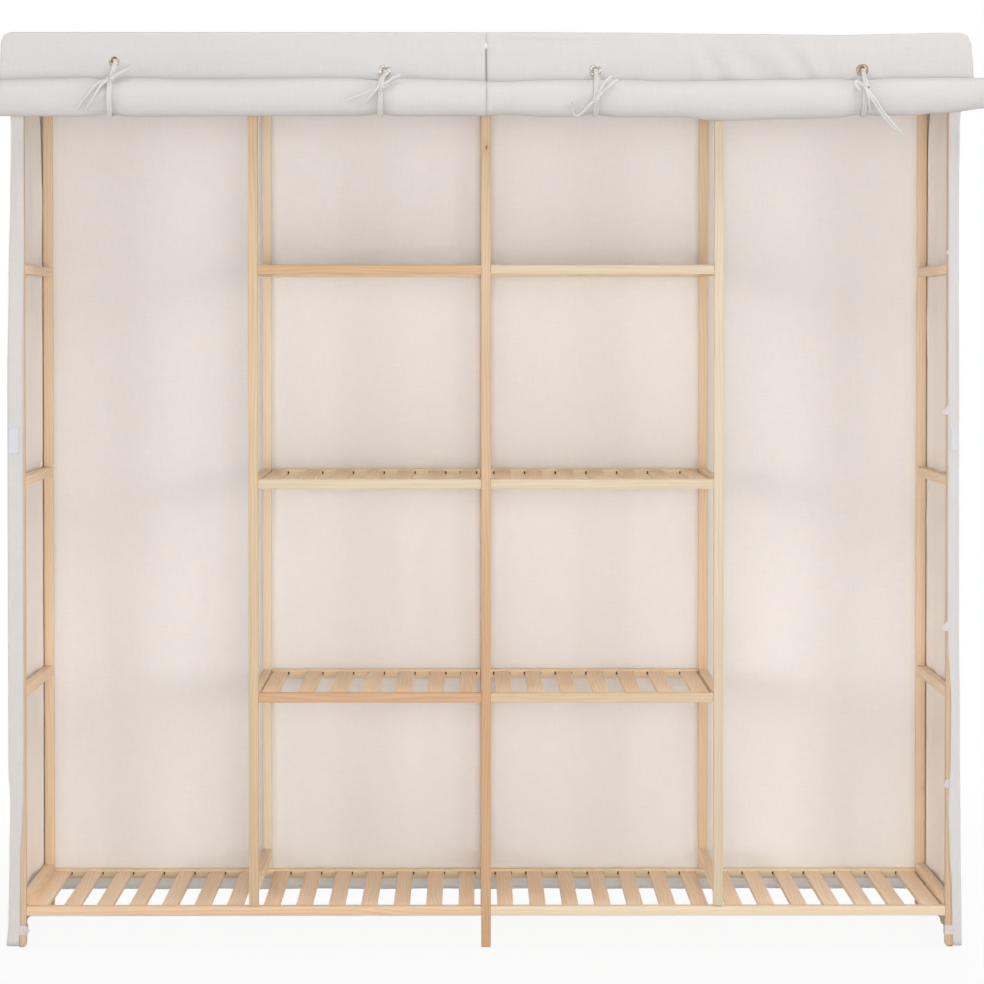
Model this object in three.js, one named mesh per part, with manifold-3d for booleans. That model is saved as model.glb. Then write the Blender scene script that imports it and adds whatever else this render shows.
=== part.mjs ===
// Portable fabric wardrobe: a pine stick frame with four bays under a loose cloth cover.
// Millimetres, +Z up, the front faces -Y. The origin is the middle of the footprint, on the floor.

import * as THREE from 'three';
import { mergeVertices } from 'three/addons/utils/BufferGeometryUtils.js';
import Module from 'manifold-3d';

const wasm = await Module();
wasm.setup();

// Driving dimensions of the wooden frame
const overallHeight = 1700;
const frameWidth = 1750;
const frameDepth = 450;
const postSide = 18;
const railSide = 18;
const edgeEase = 1.2;
const fitGap = 0.3;
const innerPostOffset = 433;

// Heights of what lies level in the frame
const bottomRailTop = 77;
const shelfPitch = 398.5;
const shelfCount = 3;
const sideBarFirstCentre = 79;
const sideBarPitch = 395;
const innerLowBarTop = 118;

// Slats of the shelves and of the bottom panels
const slatWidth = 30;
const slatPitch = 61;
const slatThickness = 9;
const slatDrop = 6;
const slatTenon = 7;

// Hanging rods and the boards that carry their ends
const rodDiameter = 22;
const rodSocketDepth = 10;
const rodBoardHeight = 46;
const rodBelowBoardTop = 23;

// Cloth cover
const clothThickness = 1.5;
const coverSideStandOff = 22;
const coverFrontStandOff = 4;
const coverBackStandOff = 3;
const coverSkirt = 21;
const coverEdgeRound = 4;
const coverCornerRadius = 12;
const backHemHeight = 42;
const sideHemHeight = 3;
const flapOverPost = 7;
const flapStandOff = 0.5;
const flapBendRadius = 5;
const backFoldDepth = 8;
const backFoldPitch = 216;
const sideDrawInHigh = 14;
const sideDrawInLow = 7;
const sideDrawInDrop = 130;
const sideDrawInEase = 900;
const sideFoldDepth = 5;
const sideFoldPitch = 170;

// Rolled curtains
const rollDiameter = 65;
const rollCentreDrop = 119.5;
const rollTurns = 12;
const rollTurnPitch = 2.4;
const rollPastFrame = 65;
const curtainSlit = 3;
const curtainTopPastFrame = 23;
const curtainLowPastFrame = 28;

// Brass eyelets in the curtains: how far out each sits, and how far below the cover's top edge
const eyeletDrop = 68;
const eyeletPlaces = [
  { name: 'outer_left', acrossShare: -0.762, dropShare: 0.735 },
  { name: 'inner_left', acrossShare: -0.208, dropShare: 1.015 },
  { name: 'inner_right', acrossShare: 0.224, dropShare: 1 },
  { name: 'outer_right', acrossShare: 0.772, dropShare: 0.985 },
];
const eyeletOuterDiameter = 23;
const eyeletHoleDiameter = 11.5;
const eyeletBarrelWall = 1;
const eyeletFlange = 1.1;

// Tie cords round the rolled curtains
const tieDiameter = 4.6;
const tieClearance = 0.5;
const tieSides = 8;
const tieLoopSteps = 28;
const tieStrandSteps = 7;
const tieKnotLength = 17;
const tieKnotWidth = 12;
const tieEyeletDip = 6;
const tieFrontLift = 1;

// One overrun serves every cut
const cutOverrun = 2;

// Heights and places that follow from the driving dimensions
const postTop = overallHeight - clothThickness - fitGap;
const topRailBottom = postTop - railSide;
const frontFace = -frameDepth / 2;
const backFace = frameDepth / 2;
const outerPostOffset = (frameWidth - postSide) / 2;
const skirtBottom = overallHeight - coverSkirt;
const curtainBack = frontFace - coverFrontStandOff;
const curtainFront = curtainBack - clothThickness;
const curtainTopReach = frameWidth / 2 + curtainTopPastFrame;
const curtainLowReach = frameWidth / 2 + curtainLowPastFrame;
const flapEdgeReach = frameWidth / 2 - flapOverPost;
const rollOuterReach = frameWidth / 2 + rollPastFrame;
const rollCentreHeight = overallHeight - rollCentreDrop;
const rollRadius = rollDiameter / 2;
const rollAxisY = (curtainBack + curtainFront) / 2 - rollRadius + clothThickness / 2;
const sideClothInner = frameWidth / 2 + coverSideStandOff;
const backClothInner = backFace + coverBackStandOff;
const rodBoardTop = topRailBottom - fitGap;
const rodHeight = rodBoardTop - rodBelowBoardTop;

// Materials
const pine = (tone) => new THREE.MeshStandardMaterial({ color: tone, roughness: 0.62, metalness: 0 });
const postPine = pine(0xe6bf92);
const railPine = pine(0xecd2ab);
const slatPine = pine(0xddb892);
const rodPine = pine(0xe9cba0);
const cloth = new THREE.MeshStandardMaterial({ color: 0xe6e2dd, roughness: 0.92, metalness: 0 });
const curtainCloth = new THREE.MeshStandardMaterial({ color: 0xe9e9e6, roughness: 0.9, metalness: 0 });
const brass = new THREE.MeshStandardMaterial({ color: 0xb99a63, roughness: 0.35, metalness: 1 });
const cordCotton = new THREE.MeshStandardMaterial({ color: 0xe9e6e2, roughness: 0.88, metalness: 0 });

const wardrobe = new THREE.Group();
const frame = new THREE.Group();
wardrobe.add(frame);

// Adds one named piece to the wardrobe
function addPiece(name, geometry, material) {
  const mesh = new THREE.Mesh(geometry, material);
  mesh.name = name;
  frame.add(mesh);
  return mesh;
}

// Turns a closed mesh into a solid that can be joined and cut
function solidOf(geometry) {
  const bare = geometry.clone();
  bare.deleteAttribute('normal');
  bare.deleteAttribute('uv');
  const merged = mergeVertices(bare);
  return new wasm.Manifold(new wasm.Mesh({
    numProp: 3,
    vertProperties: new Float32Array(merged.attributes.position.array),
    triVerts: new Uint32Array(merged.index.array),
  }));
}

// Turns a solid back into a mesh geometry
function geometryOf(solid) {
  const mesh = solid.getMesh();
  const geometry = new THREE.BufferGeometry();
  geometry.setAttribute('position', new THREE.BufferAttribute(new Float32Array(mesh.vertProperties), 3));
  geometry.setIndex(new THREE.BufferAttribute(new Uint32Array(mesh.triVerts), 1));
  geometry.computeVertexNormals();
  return geometry;
}

// Joins several closed meshes into one
function joined(geometries) {
  const whole = geometries.map(solidOf).reduce((sum, next) => sum.add(next));
  return geometryOf(whole);
}

// Mirrors a geometry left to right and keeps its faces pointing out
function mirroredX(geometry) {
  const copy = geometry.index ? geometry.toNonIndexed() : geometry.clone();
  copy.scale(-1, 1, 1);
  const place = copy.attributes.position;
  for (let first = 0; first < place.count; first += 3) {
    const a = new THREE.Vector3().fromBufferAttribute(place, first + 1);
    const b = new THREE.Vector3().fromBufferAttribute(place, first + 2);
    place.setXYZ(first + 1, b.x, b.y, b.z);
    place.setXYZ(first + 2, a.x, a.y, a.z);
  }
  copy.computeVertexNormals();
  return copy;
}

// Lays an extrusion made along local Z along the named world axis
function alongAxis(geometry, axis) {
  const x = new THREE.Vector3(1, 0, 0);
  const y = new THREE.Vector3(0, 1, 0);
  const z = new THREE.Vector3(0, 0, 1);
  const basis = new THREE.Matrix4();
  if (axis === 'x') basis.makeBasis(y, z, x);
  if (axis === 'y') basis.makeBasis(z, x, y);
  return geometry.applyMatrix4(basis);
}

// A planed stick between two corners, its four long edges and both ends eased
function stick(axis, low, high) {
  const size = new THREE.Vector3().subVectors(high, low);
  const wide = { x: size.y, y: size.z, z: size.x }[axis];
  const tall = { x: size.z, y: size.x, z: size.y }[axis];
  const long = size[axis];
  const section = new THREE.Shape([
    new THREE.Vector2(edgeEase, 0),
    new THREE.Vector2(wide - edgeEase, 0),
    new THREE.Vector2(wide, edgeEase),
    new THREE.Vector2(wide, tall - edgeEase),
    new THREE.Vector2(wide - edgeEase, tall),
    new THREE.Vector2(edgeEase, tall),
    new THREE.Vector2(0, tall - edgeEase),
    new THREE.Vector2(0, edgeEase),
  ]);
  const geometry = new THREE.ExtrudeGeometry(section, {
    depth: long - 2 * edgeEase,
    bevelEnabled: true,
    bevelThickness: edgeEase,
    bevelSize: edgeEase,
    bevelOffset: -edgeEase,
    bevelSegments: 1,
  });
  geometry.translate(0, 0, edgeEase);
  alongAxis(geometry, axis);
  return geometry.translate(low.x, low.y, low.z);
}

// A round bar between two ends, along X
const rodSides = 24;
function roundBarX(diameter, startX, endX, centreY, centreZ) {
  const geometry = new THREE.CylinderGeometry(diameter / 2, diameter / 2, endX - startX, rodSides);
  geometry.rotateZ(Math.PI / 2);
  return geometry.translate((startX + endX) / 2, centreY, centreZ);
}

// Posts: six stand on the floor, four stand on the bottom rails and end under the top rails
function post(centreX, front, bottom, top) {
  const y = front ? frontFace : backFace - postSide;
  return stick(
    'z',
    new THREE.Vector3(centreX - postSide / 2, y, bottom),
    new THREE.Vector3(centreX + postSide / 2, y + postSide, top),
  );
}

const innerBottom = bottomRailTop + fitGap;
const underTopRail = topRailBottom - fitGap;
for (const front of [true, false]) {
  const row = front ? 'front' : 'back';
  addPiece(`${row}_post_left`, post(-outerPostOffset, front, 0, postTop), postPine);
  addPiece(`${row}_post_right`, post(outerPostOffset, front, 0, postTop), postPine);
  addPiece(`${row}_post_centre`, post(0, front, 0, underTopRail), postPine);
  addPiece(`${row}_inner_post_left`, post(-innerPostOffset, front, innerBottom, underTopRail), postPine);
  addPiece(`${row}_inner_post_right`, post(innerPostOffset, front, innerBottom, underTopRail), postPine);
}

// Rails along the top of the frame, between the outer posts
const betweenOuterPosts = outerPostOffset - postSide / 2 - fitGap;
for (const front of [true, false]) {
  const y = front ? frontFace : backFace - railSide;
  addPiece(front ? 'top_rail_front' : 'top_rail_back', stick(
    'x',
    new THREE.Vector3(-betweenOuterPosts, y, topRailBottom),
    new THREE.Vector3(betweenOuterPosts, y + railSide, postTop),
  ), railPine);
}

// Crossbars run front to back between the two posts of a side frame
const crossbarReach = frameDepth / 2 - postSide - fitGap;
function crossbar(centreX, bottom, top) {
  return stick(
    'y',
    new THREE.Vector3(centreX - railSide / 2, -crossbarReach, bottom),
    new THREE.Vector3(centreX + railSide / 2, crossbarReach, top),
  );
}

// The board at the top of a side frame has a blind socket for the hanging rod
function rodBoard(centreX, socketSide) {
  const board = crossbar(centreX, rodBoardTop - rodBoardHeight, rodBoardTop);
  const face = centreX + socketSide * railSide / 2;
  const deep = face - socketSide * rodSocketDepth;
  const out = face + socketSide * cutOverrun;
  const boreDiameter = rodDiameter + 2 * fitGap;
  const bore = roundBarX(boreDiameter, Math.min(deep, out), Math.max(deep, out), 0, rodHeight);
  return geometryOf(solidOf(board).subtract(solidOf(bore)));
}

const sideNames = { '-1': 'left', '1': 'right' };
const levelNames = ['low', 'middle', 'high'];
for (const side of [-1, 1]) {
  const name = sideNames[side];
  const outerX = side * outerPostOffset;
  const innerX = side * innerPostOffset;
  const lowBarBottom = sideBarFirstCentre - railSide / 2;
  addPiece(`side_bar_${name}_bottom`, crossbar(outerX, lowBarBottom, lowBarBottom + railSide), railPine);
  addPiece(`inner_bar_${name}_bottom`, crossbar(innerX, innerLowBarTop - railSide, innerLowBarTop), railPine);
  for (let level = 1; level <= shelfCount; level += 1) {
    const outerBottom = lowBarBottom + level * sideBarPitch;
    const innerTop = bottomRailTop + level * shelfPitch;
    const label = levelNames[level - 1];
    addPiece(`side_bar_${name}_${label}`, crossbar(outerX, outerBottom, outerBottom + railSide), railPine);
    addPiece(`inner_bar_${name}_${label}`, crossbar(innerX, innerTop - railSide, innerTop), railPine);
  }
  addPiece(`side_rod_board_${name}`, rodBoard(outerX, -side), railPine);
  addPiece(`inner_rod_board_${name}`, rodBoard(innerX, side), railPine);
  const nearEnd = innerPostOffset + railSide / 2 - rodSocketDepth + fitGap;
  const farEnd = outerPostOffset - railSide / 2 + rodSocketDepth - fitGap;
  const rod = roundBarX(rodDiameter, nearEnd, farEnd, 0, rodHeight);
  addPiece(`hanging_rod_${name}`, side > 0 ? rod : mirroredX(rod), rodPine);
}

// A slatted panel: a front and a back rail with slats tenoned between them, a little below their tops
function slattedPanel(startX, endX, railTop) {
  const bottom = railTop - railSide;
  const slatTop = railTop - slatDrop;
  const pieces = [
    stick('x', new THREE.Vector3(startX, frontFace, bottom),
      new THREE.Vector3(endX, frontFace + railSide, railTop)),
    stick('x', new THREE.Vector3(startX, backFace - railSide, bottom),
      new THREE.Vector3(endX, backFace, railTop)),
  ];
  const count = Math.floor((endX - startX - slatWidth) / slatPitch) + 1;
  const endGap = (endX - startX - (count - 1) * slatPitch - slatWidth) / 2;
  const slatReach = frameDepth / 2 - railSide + slatTenon;
  for (let index = 0; index < count; index += 1) {
    const x = startX + endGap + index * slatPitch;
    pieces.push(stick('y', new THREE.Vector3(x, -slatReach, slatTop - slatThickness),
      new THREE.Vector3(x + slatWidth, slatReach, slatTop)));
  }
  return joined(pieces);
}

addPiece('centre_bar_bottom', crossbar(0, innerLowBarTop - railSide, innerLowBarTop), railPine);
addPiece('centre_bar_top', crossbar(0, rodBoardTop - railSide, rodBoardTop), railPine);

const besideCentrePost = postSide / 2 + fitGap;
const besideInnerPost = innerPostOffset - postSide / 2 - fitGap;
addPiece('bottom_panel_left', slattedPanel(-betweenOuterPosts, -besideCentrePost, bottomRailTop), slatPine);
addPiece('bottom_panel_right', slattedPanel(besideCentrePost, betweenOuterPosts, bottomRailTop), slatPine);
for (let level = 1; level <= shelfCount; level += 1) {
  const railTop = bottomRailTop + level * shelfPitch;
  const label = levelNames[level - 1];
  addPiece(`shelf_left_${label}`, slattedPanel(-besideInnerPost, -besideCentrePost, railTop), slatPine);
  addPiece(`shelf_right_${label}`, slattedPanel(besideCentrePost, besideInnerPost, railTop), slatPine);
}

// A rounded rectangle outline about the middle of the cover
function coverOutline(halfWidth, front, back, radius) {
  const outline = new THREE.Shape();
  outline.moveTo(halfWidth, front + radius);
  outline.lineTo(halfWidth, back - radius);
  outline.absarc(halfWidth - radius, back - radius, radius, 0, Math.PI / 2);
  outline.absarc(-halfWidth + radius, back - radius, radius, Math.PI / 2, Math.PI);
  outline.absarc(-halfWidth + radius, front + radius, radius, Math.PI, 1.5 * Math.PI);
  outline.absarc(halfWidth - radius, front + radius, radius, 1.5 * Math.PI, 2 * Math.PI);
  return outline;
}

// One soft-edged block in the shape of the cover's top, shrunk by an inset all round
function coverBlock(inset, height) {
  const halfWidth = sideClothInner + clothThickness - inset;
  const front = curtainFront + inset;
  const back = backClothInner + clothThickness - inset;
  const round = coverEdgeRound - inset;
  const geometry = new THREE.ExtrudeGeometry(
    coverOutline(halfWidth, front, back, coverCornerRadius - inset),
    {
      depth: height,
      curveSegments: 3,
      bevelEnabled: true,
      bevelThickness: round,
      bevelSize: round,
      bevelOffset: -round,
      bevelSegments: 3,
    },
  );
  return geometry.translate(0, 0, overallHeight - inset - height - round);
}

// The cover's top, a shallow cloth tray turned upside down over the frame
function coverTop() {
  const outer = solidOf(coverBlock(0, coverSkirt));
  const inner = solidOf(coverBlock(clothThickness, coverSkirt + clothThickness));
  const belowHeight = coverSkirt + coverEdgeRound + cutOverrun;
  const below = new THREE.BoxGeometry(2 * frameWidth, 2 * frameDepth, belowHeight);
  below.translate(0, 0, skirtBottom - belowHeight / 2);
  return geometryOf(outer.subtract(inner).subtract(solidOf(below)));
}
addPiece('cover_top', coverTop(), cloth);

// A sheet of cloth as a closed solid: place(u, v) gives the inner face, out(u, v) the way to the outer one
function clothSheet(place, out, columns, rows) {
  const corners = [];
  for (const layer of [0, 1]) {
    for (let row = 0; row <= rows; row += 1) {
      for (let column = 0; column <= columns; column += 1) {
        const u = column / columns;
        const v = row / rows;
        const point = place(u, v).addScaledVector(out(u, v), layer * clothThickness);
        corners.push(point.x, point.y, point.z);
      }
    }
  }
  const across = columns + 1;
  const layerSize = across * (rows + 1);
  const at = (layer, column, row) => layer * layerSize + row * across + column;
  const faces = [];
  const quad = (a, b, c, d) => faces.push(a, b, c, a, c, d);
  for (let row = 0; row < rows; row += 1) {
    for (let column = 0; column < columns; column += 1) {
      quad(at(0, column, row), at(0, column + 1, row), at(0, column + 1, row + 1), at(0, column, row + 1));
      quad(at(1, column, row), at(1, column, row + 1), at(1, column + 1, row + 1), at(1, column + 1, row));
    }
  }
  for (let column = 0; column < columns; column += 1) {
    quad(at(0, column + 1, 0), at(0, column, 0), at(1, column, 0), at(1, column + 1, 0));
    quad(at(0, column, rows), at(0, column + 1, rows), at(1, column + 1, rows), at(1, column, rows));
  }
  for (let row = 0; row < rows; row += 1) {
    quad(at(0, 0, row), at(0, 0, row + 1), at(1, 0, row + 1), at(1, 0, row));
    quad(at(0, columns, row + 1), at(0, columns, row), at(1, columns, row), at(1, columns, row + 1));
  }
  const geometry = new THREE.BufferGeometry();
  geometry.setAttribute('position', new THREE.Float32BufferAttribute(corners, 3));
  geometry.setIndex(faces);
  geometry.computeVertexNormals();
  return geometry;
}

// Back cloth: hangs outside the back posts in soft upright folds that deepen towards the hem
const backClothTop = skirtBottom - fitGap;
const backClothReach = sideClothInner - fitGap;
const foldShareAtTop = 0.25;
const backSwayShare = 0.35;
const edgeFlatShare = 0.5;
const topFlatShare = 0.17;
function backPlace(u, v) {
  const x = THREE.MathUtils.lerp(-backClothReach, backClothReach, u);
  const z = THREE.MathUtils.lerp(backHemHeight, backClothTop, v);
  const sway = backSwayShare * Math.sin(Math.PI * v * 2);
  const fold = 0.5 - 0.5 * Math.cos(2 * Math.PI * (x / backFoldPitch) + sway);
  const depth = THREE.MathUtils.lerp(1, foldShareAtTop, v * v) * fold;
  const edgeShare = Math.min(1, (backClothReach - Math.abs(x)) / backFoldPitch / edgeFlatShare);
  const topShare = Math.min(1, (1 - v) / topFlatShare);
  return new THREE.Vector3(x, backClothInner + backFoldDepth * depth * edgeShare * topShare, z);
}
const backOut = () => new THREE.Vector3(0, 1, 0);
const backColumns = 48;
const backRows = 6;
addPiece('back_cloth', clothSheet(backPlace, backOut, backColumns, backRows), cloth);

// Side cloth: from the back corner past the side frame, then round the front post as a narrow flap
const sideClothTop = skirtBottom - fitGap;
const sideBackY = backClothInner - fitGap;
const flapInnerY = frontFace - flapStandOff;
const sideRunLength = sideBackY - flapInnerY - flapBendRadius;
const sideRunColumns = 12;
const sideBendColumns = 3;
const sideFlapColumns = 2;
const sideColumns = sideRunColumns + sideBendColumns + sideFlapColumns;
const sideRows = 10;

// How far the side cloth is drawn in towards the frame, a way from the back corner and at a height
function sideDrawIn(way, z) {
  const below = sideClothTop - z;
  const under = THREE.MathUtils.smoothstep(below, 0, sideDrawInDrop);
  const low = THREE.MathUtils.smoothstep(below, sideDrawInDrop, sideDrawInDrop + sideDrawInEase);
  const onRun = Math.sin(Math.PI * Math.min(1, way / sideRunLength));
  const fold = sideFoldDepth * onRun * Math.sin(2 * Math.PI * way / sideFoldPitch);
  return under * (THREE.MathUtils.lerp(sideDrawInHigh, sideDrawInLow, low) + fold);
}

// One point of the side cloth's inner face and its outward direction, for a column and a height
function sideStation(column, z) {
  if (column <= sideRunColumns) {
    const way = sideRunLength * column / sideRunColumns;
    return { x: sideClothInner - sideDrawIn(way, z), y: sideBackY - way, nx: 1, ny: 0 };
  }
  const edgeX = sideClothInner - sideDrawIn(sideRunLength, z);
  const bent = column - sideRunColumns;
  const angle = Math.min(1, bent / sideBendColumns) * Math.PI / 2;
  const bendX = edgeX - flapBendRadius * (1 - Math.cos(angle));
  const along = Math.max(0, bent - sideBendColumns) / sideFlapColumns;
  return {
    x: THREE.MathUtils.lerp(bendX, flapEdgeReach, along),
    y: flapInnerY + flapBendRadius * (1 - Math.sin(angle)),
    nx: Math.cos(angle),
    ny: -Math.sin(angle),
  };
}
function sidePlace(u, v) {
  const z = THREE.MathUtils.lerp(sideHemHeight, sideClothTop, v);
  const station = sideStation(Math.round(u * sideColumns), z);
  return new THREE.Vector3(station.x, station.y, z);
}
function sideOut(u, v) {
  const z = THREE.MathUtils.lerp(sideHemHeight, sideClothTop, v);
  const station = sideStation(Math.round(u * sideColumns), z);
  return new THREE.Vector3(station.nx, station.ny, 0);
}
const rightSide = clothSheet(sidePlace, sideOut, sideColumns, sideRows);
addPiece('side_cloth_right', rightSide, cloth);
addPiece('side_cloth_left', mirroredX(rightSide), cloth);

const eyelets = eyeletPlaces.map((place) => ({
  name: place.name,
  x: place.acrossShare * curtainLowReach,
  z: overallHeight - place.dropShare * eyeletDrop,
}));
const eyeletHoleInCloth = eyeletHoleDiameter / 2 + eyeletBarrelWall + fitGap;
const eyeletSides = 16;

// Upper part of a curtain, from the cover's front edge down to where its roll begins
function curtainBand(side) {
  const top = skirtBottom - fitGap;
  const bottom = rollCentreHeight + fitGap;
  const outline = new THREE.Shape([
    new THREE.Vector2(side * curtainSlit / 2, bottom),
    new THREE.Vector2(side * curtainLowReach, bottom),
    new THREE.Vector2(side * curtainTopReach, top),
    new THREE.Vector2(side * curtainSlit / 2, top),
  ]);
  for (const eyelet of eyelets.filter((each) => Math.sign(each.x) === side)) {
    const hole = new THREE.Path();
    hole.absarc(eyelet.x, eyelet.z, eyeletHoleInCloth, 0, 2 * Math.PI);
    outline.holes.push(hole);
  }
  const geometry = new THREE.ExtrudeGeometry(outline, {
    depth: clothThickness,
    bevelEnabled: false,
    curveSegments: eyeletSides,
  });
  geometry.rotateX(Math.PI / 2);
  return geometry.translate(0, curtainBack, 0);
}
addPiece('curtain_band_left', curtainBand(-1), curtainCloth);
addPiece('curtain_band_right', curtainBand(1), curtainCloth);

// Rolled lower part of a curtain: one spiral of cloth that starts behind the roll and goes under it
const rollStepsPerTurn = 16;
function spiralPoint(turns, inward) {
  const radius = rollRadius - rollTurnPitch * turns - inward;
  const angle = 2 * Math.PI * turns;
  const y = rollAxisY + radius * Math.cos(angle);
  return new THREE.Vector2(y, rollCentreHeight - radius * Math.sin(angle));
}
function curtainRoll() {
  const outer = [];
  const inner = [];
  for (let step = 0; step <= rollTurns * rollStepsPerTurn; step += 1) {
    outer.push(spiralPoint(step / rollStepsPerTurn, 0));
    inner.push(spiralPoint(step / rollStepsPerTurn, clothThickness));
  }
  const section = new THREE.Shape(outer.concat(inner.reverse()));
  const geometry = new THREE.ExtrudeGeometry(section, {
    depth: rollOuterReach - curtainSlit / 2,
    bevelEnabled: false,
  });
  alongAxis(geometry, 'x');
  return geometry.translate(curtainSlit / 2, 0, 0);
}
const rollRight = curtainRoll();
addPiece('curtain_roll_right', rollRight, curtainCloth);
addPiece('curtain_roll_left', mirroredX(rollRight), curtainCloth);

// Least gap between neighbouring turns of the roll, measured on its points
function leastTurnGap() {
  let least = Infinity;
  for (let step = 0; step <= (rollTurns - 1) * rollStepsPerTurn; step += 1) {
    const inside = spiralPoint(step / rollStepsPerTurn, clothThickness);
    const next = spiralPoint(step / rollStepsPerTurn + 1, 0);
    least = Math.min(least, inside.distanceTo(next));
  }
  return least;
}
console.log(`least gap between turns of a rolled curtain: ${leastTurnGap().toFixed(2)} mm`);

// Brass eyelet: a rolled ring that grips the curtain's hole from both sides
function eyelet(centreX, centreZ) {
  const hole = eyeletHoleDiameter / 2;
  const barrel = hole + eyeletBarrelWall;
  const rim = eyeletOuterDiameter / 2;
  const inFront = clothThickness / 2 + fitGap;
  const outFront = inFront + eyeletFlange;
  const profile = [
    new THREE.Vector2(hole, -inFront),
    new THREE.Vector2(hole + eyeletFlange, -outFront),
    new THREE.Vector2(rim - eyeletFlange, -outFront),
    new THREE.Vector2(rim, -inFront),
    new THREE.Vector2(barrel, -inFront),
    new THREE.Vector2(barrel, inFront),
    new THREE.Vector2(rim, inFront),
    new THREE.Vector2(rim - eyeletFlange, outFront),
    new THREE.Vector2(hole + eyeletFlange, outFront),
    new THREE.Vector2(hole, inFront),
    new THREE.Vector2(hole, -inFront),
  ];
  const geometry = new THREE.LatheGeometry(profile, eyeletSides);
  return geometry.translate(centreX, (curtainBack + curtainFront) / 2, centreZ);
}
for (const each of eyelets) {
  addPiece(`eyelet_${each.name}`, eyelet(each.x, each.z), brass);
}

// A point near a rolled curtain: across, round it from the front (0 degrees) up, and off its cloth
function roundRoll(x, degrees, lift) {
  const radius = rollRadius + tieDiameter / 2 + tieClearance + lift;
  const angle = THREE.MathUtils.degToRad(degrees);
  const y = rollAxisY - radius * Math.cos(angle);
  return new THREE.Vector3(x, y, rollCentreHeight + radius * Math.sin(angle));
}

// A cord along points, as one tube
function cordTube(points, steps, diameter) {
  const section = new THREE.Shape();
  for (let corner = 0; corner < tieSides; corner += 1) {
    const angle = 2 * Math.PI * corner / tieSides;
    const x = diameter / 2 * Math.cos(angle);
    const y = diameter / 2 * Math.sin(angle);
    if (corner === 0) section.moveTo(x, y);
    else section.lineTo(x, y);
  }
  return new THREE.ExtrudeGeometry(section, {
    steps,
    bevelEnabled: false,
    extrudePath: new THREE.CatmullRomCurve3(points),
  });
}

// Each tie's route: across from its eyelet, degrees round the roll from its front, and lift off the roll.
// It starts with the knot, and each strand is a loose end or a bow's side that leaves the knot.
const tieRoutes = [
  {
    knot: [-6, 50],
    strands: [
      [[-6, 50, 4], [-22, 36, 5], [-40, 8, 3], [-56, -24, 1], [-64, -40, 1]],
      [[-6, 50, 4], [-18, 28, 6], [-32, -6, 4], [-44, -34, 1], [-48, -50, 1]],
      [[-6, 50, 4], [8, 56, 10], [24, 62, 18], [40, 64, 25]],
    ],
  },
  {
    knot: [-9, 21],
    strands: [
      [[-9, 21, 4], [-25, 14, 6], [-43, 2, 4], [-61, -8, 1], [-67, -14, 1]],
      [[-9, 21, 4], [-19, 8, 7], [-31, -14, 5], [-42, -26, 1]],
      [[-9, 21, 4], [3, 32, 8], [17, 44, 12], [29, 50, 14]],
    ],
  },
  {
    knot: [-3, -12],
    strands: [
      [[-3, -12, 4], [-13, -18, 9], [-27, -34, 9], [-41, -46, 4], [-45, -54, 2]],
      [[-3, -12, 4], [9, 6, 8], [23, 24, 9], [37, 42, 8]],
      [[-3, -12, 4], [5, 10, 9], [17, 34, 12], [27, 46, 14]],
    ],
  },
  {
    knot: [-4, 27],
    strands: [
      [[-4, 27, 4], [10, 10, 8], [32, -26, 10], [52, -58, 16], [68, -72, 26]],
      [[-4, 27, 4], [-12, 38, 6], [-19, 40, 6], [-20, 28, 5], [-12, 16, 5]],
      [[-4, 27, 4], [2, 2, 7], [6, -26, 4], [8, -46, 1]],
    ],
  },
];
const tieOverTopDegrees = 76;
const tieRisingStepDegrees = 26;
const tieUnderStepDegrees = 30;
const tieKnotDegrees = 12;
const tieEaseDegrees = 120;

// The cord's one way round: up from the knot, through the eyelet, down behind the curtain, under the roll
function tieLoop(eyelet, knotAcross, knotDegrees) {
  const knotX = eyelet.x + knotAcross;
  const clothMiddle = (curtainBack + curtainFront) / 2;
  const outReach = clothThickness / 2 + eyeletFlange + fitGap + tieDiameter / 2 + tieClearance;
  const behindY = curtainBack + tieDiameter / 2 + tieClearance;
  const acrossAt = (share) => THREE.MathUtils.lerp(knotX, eyelet.x, share);
  const atEyelet = (outShare, dipShare) => new THREE.Vector3(
    eyelet.x,
    clothMiddle + outShare * outReach,
    eyelet.z - dipShare * tieEyeletDip,
  );
  const points = [roundRoll(knotX, knotDegrees, 0)];
  const risingStep = tieRisingStepDegrees;
  for (let degrees = knotDegrees + risingStep; degrees <= tieOverTopDegrees; degrees += risingStep) {
    points.push(roundRoll(acrossAt((degrees - knotDegrees) / tieEaseDegrees), degrees, tieFrontLift));
  }
  points.push(
    atEyelet(-1, 1),
    atEyelet(-0.5, 0),
    atEyelet(0, 0),
    atEyelet(0.5, 0),
    atEyelet(1, 1),
    new THREE.Vector3(acrossAt(0.6), behindY, rollCentreHeight + rollRadius * 0.7),
    new THREE.Vector3(acrossAt(0.4), behindY, rollCentreHeight),
  );
  const underStep = tieUnderStepDegrees;
  for (let degrees = underStep - 180; degrees < knotDegrees - tieKnotDegrees; degrees += underStep) {
    points.push(roundRoll(knotX, degrees, 0));
  }
  points.push(roundRoll(knotX, knotDegrees, tieFrontLift));
  return points;
}

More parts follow.
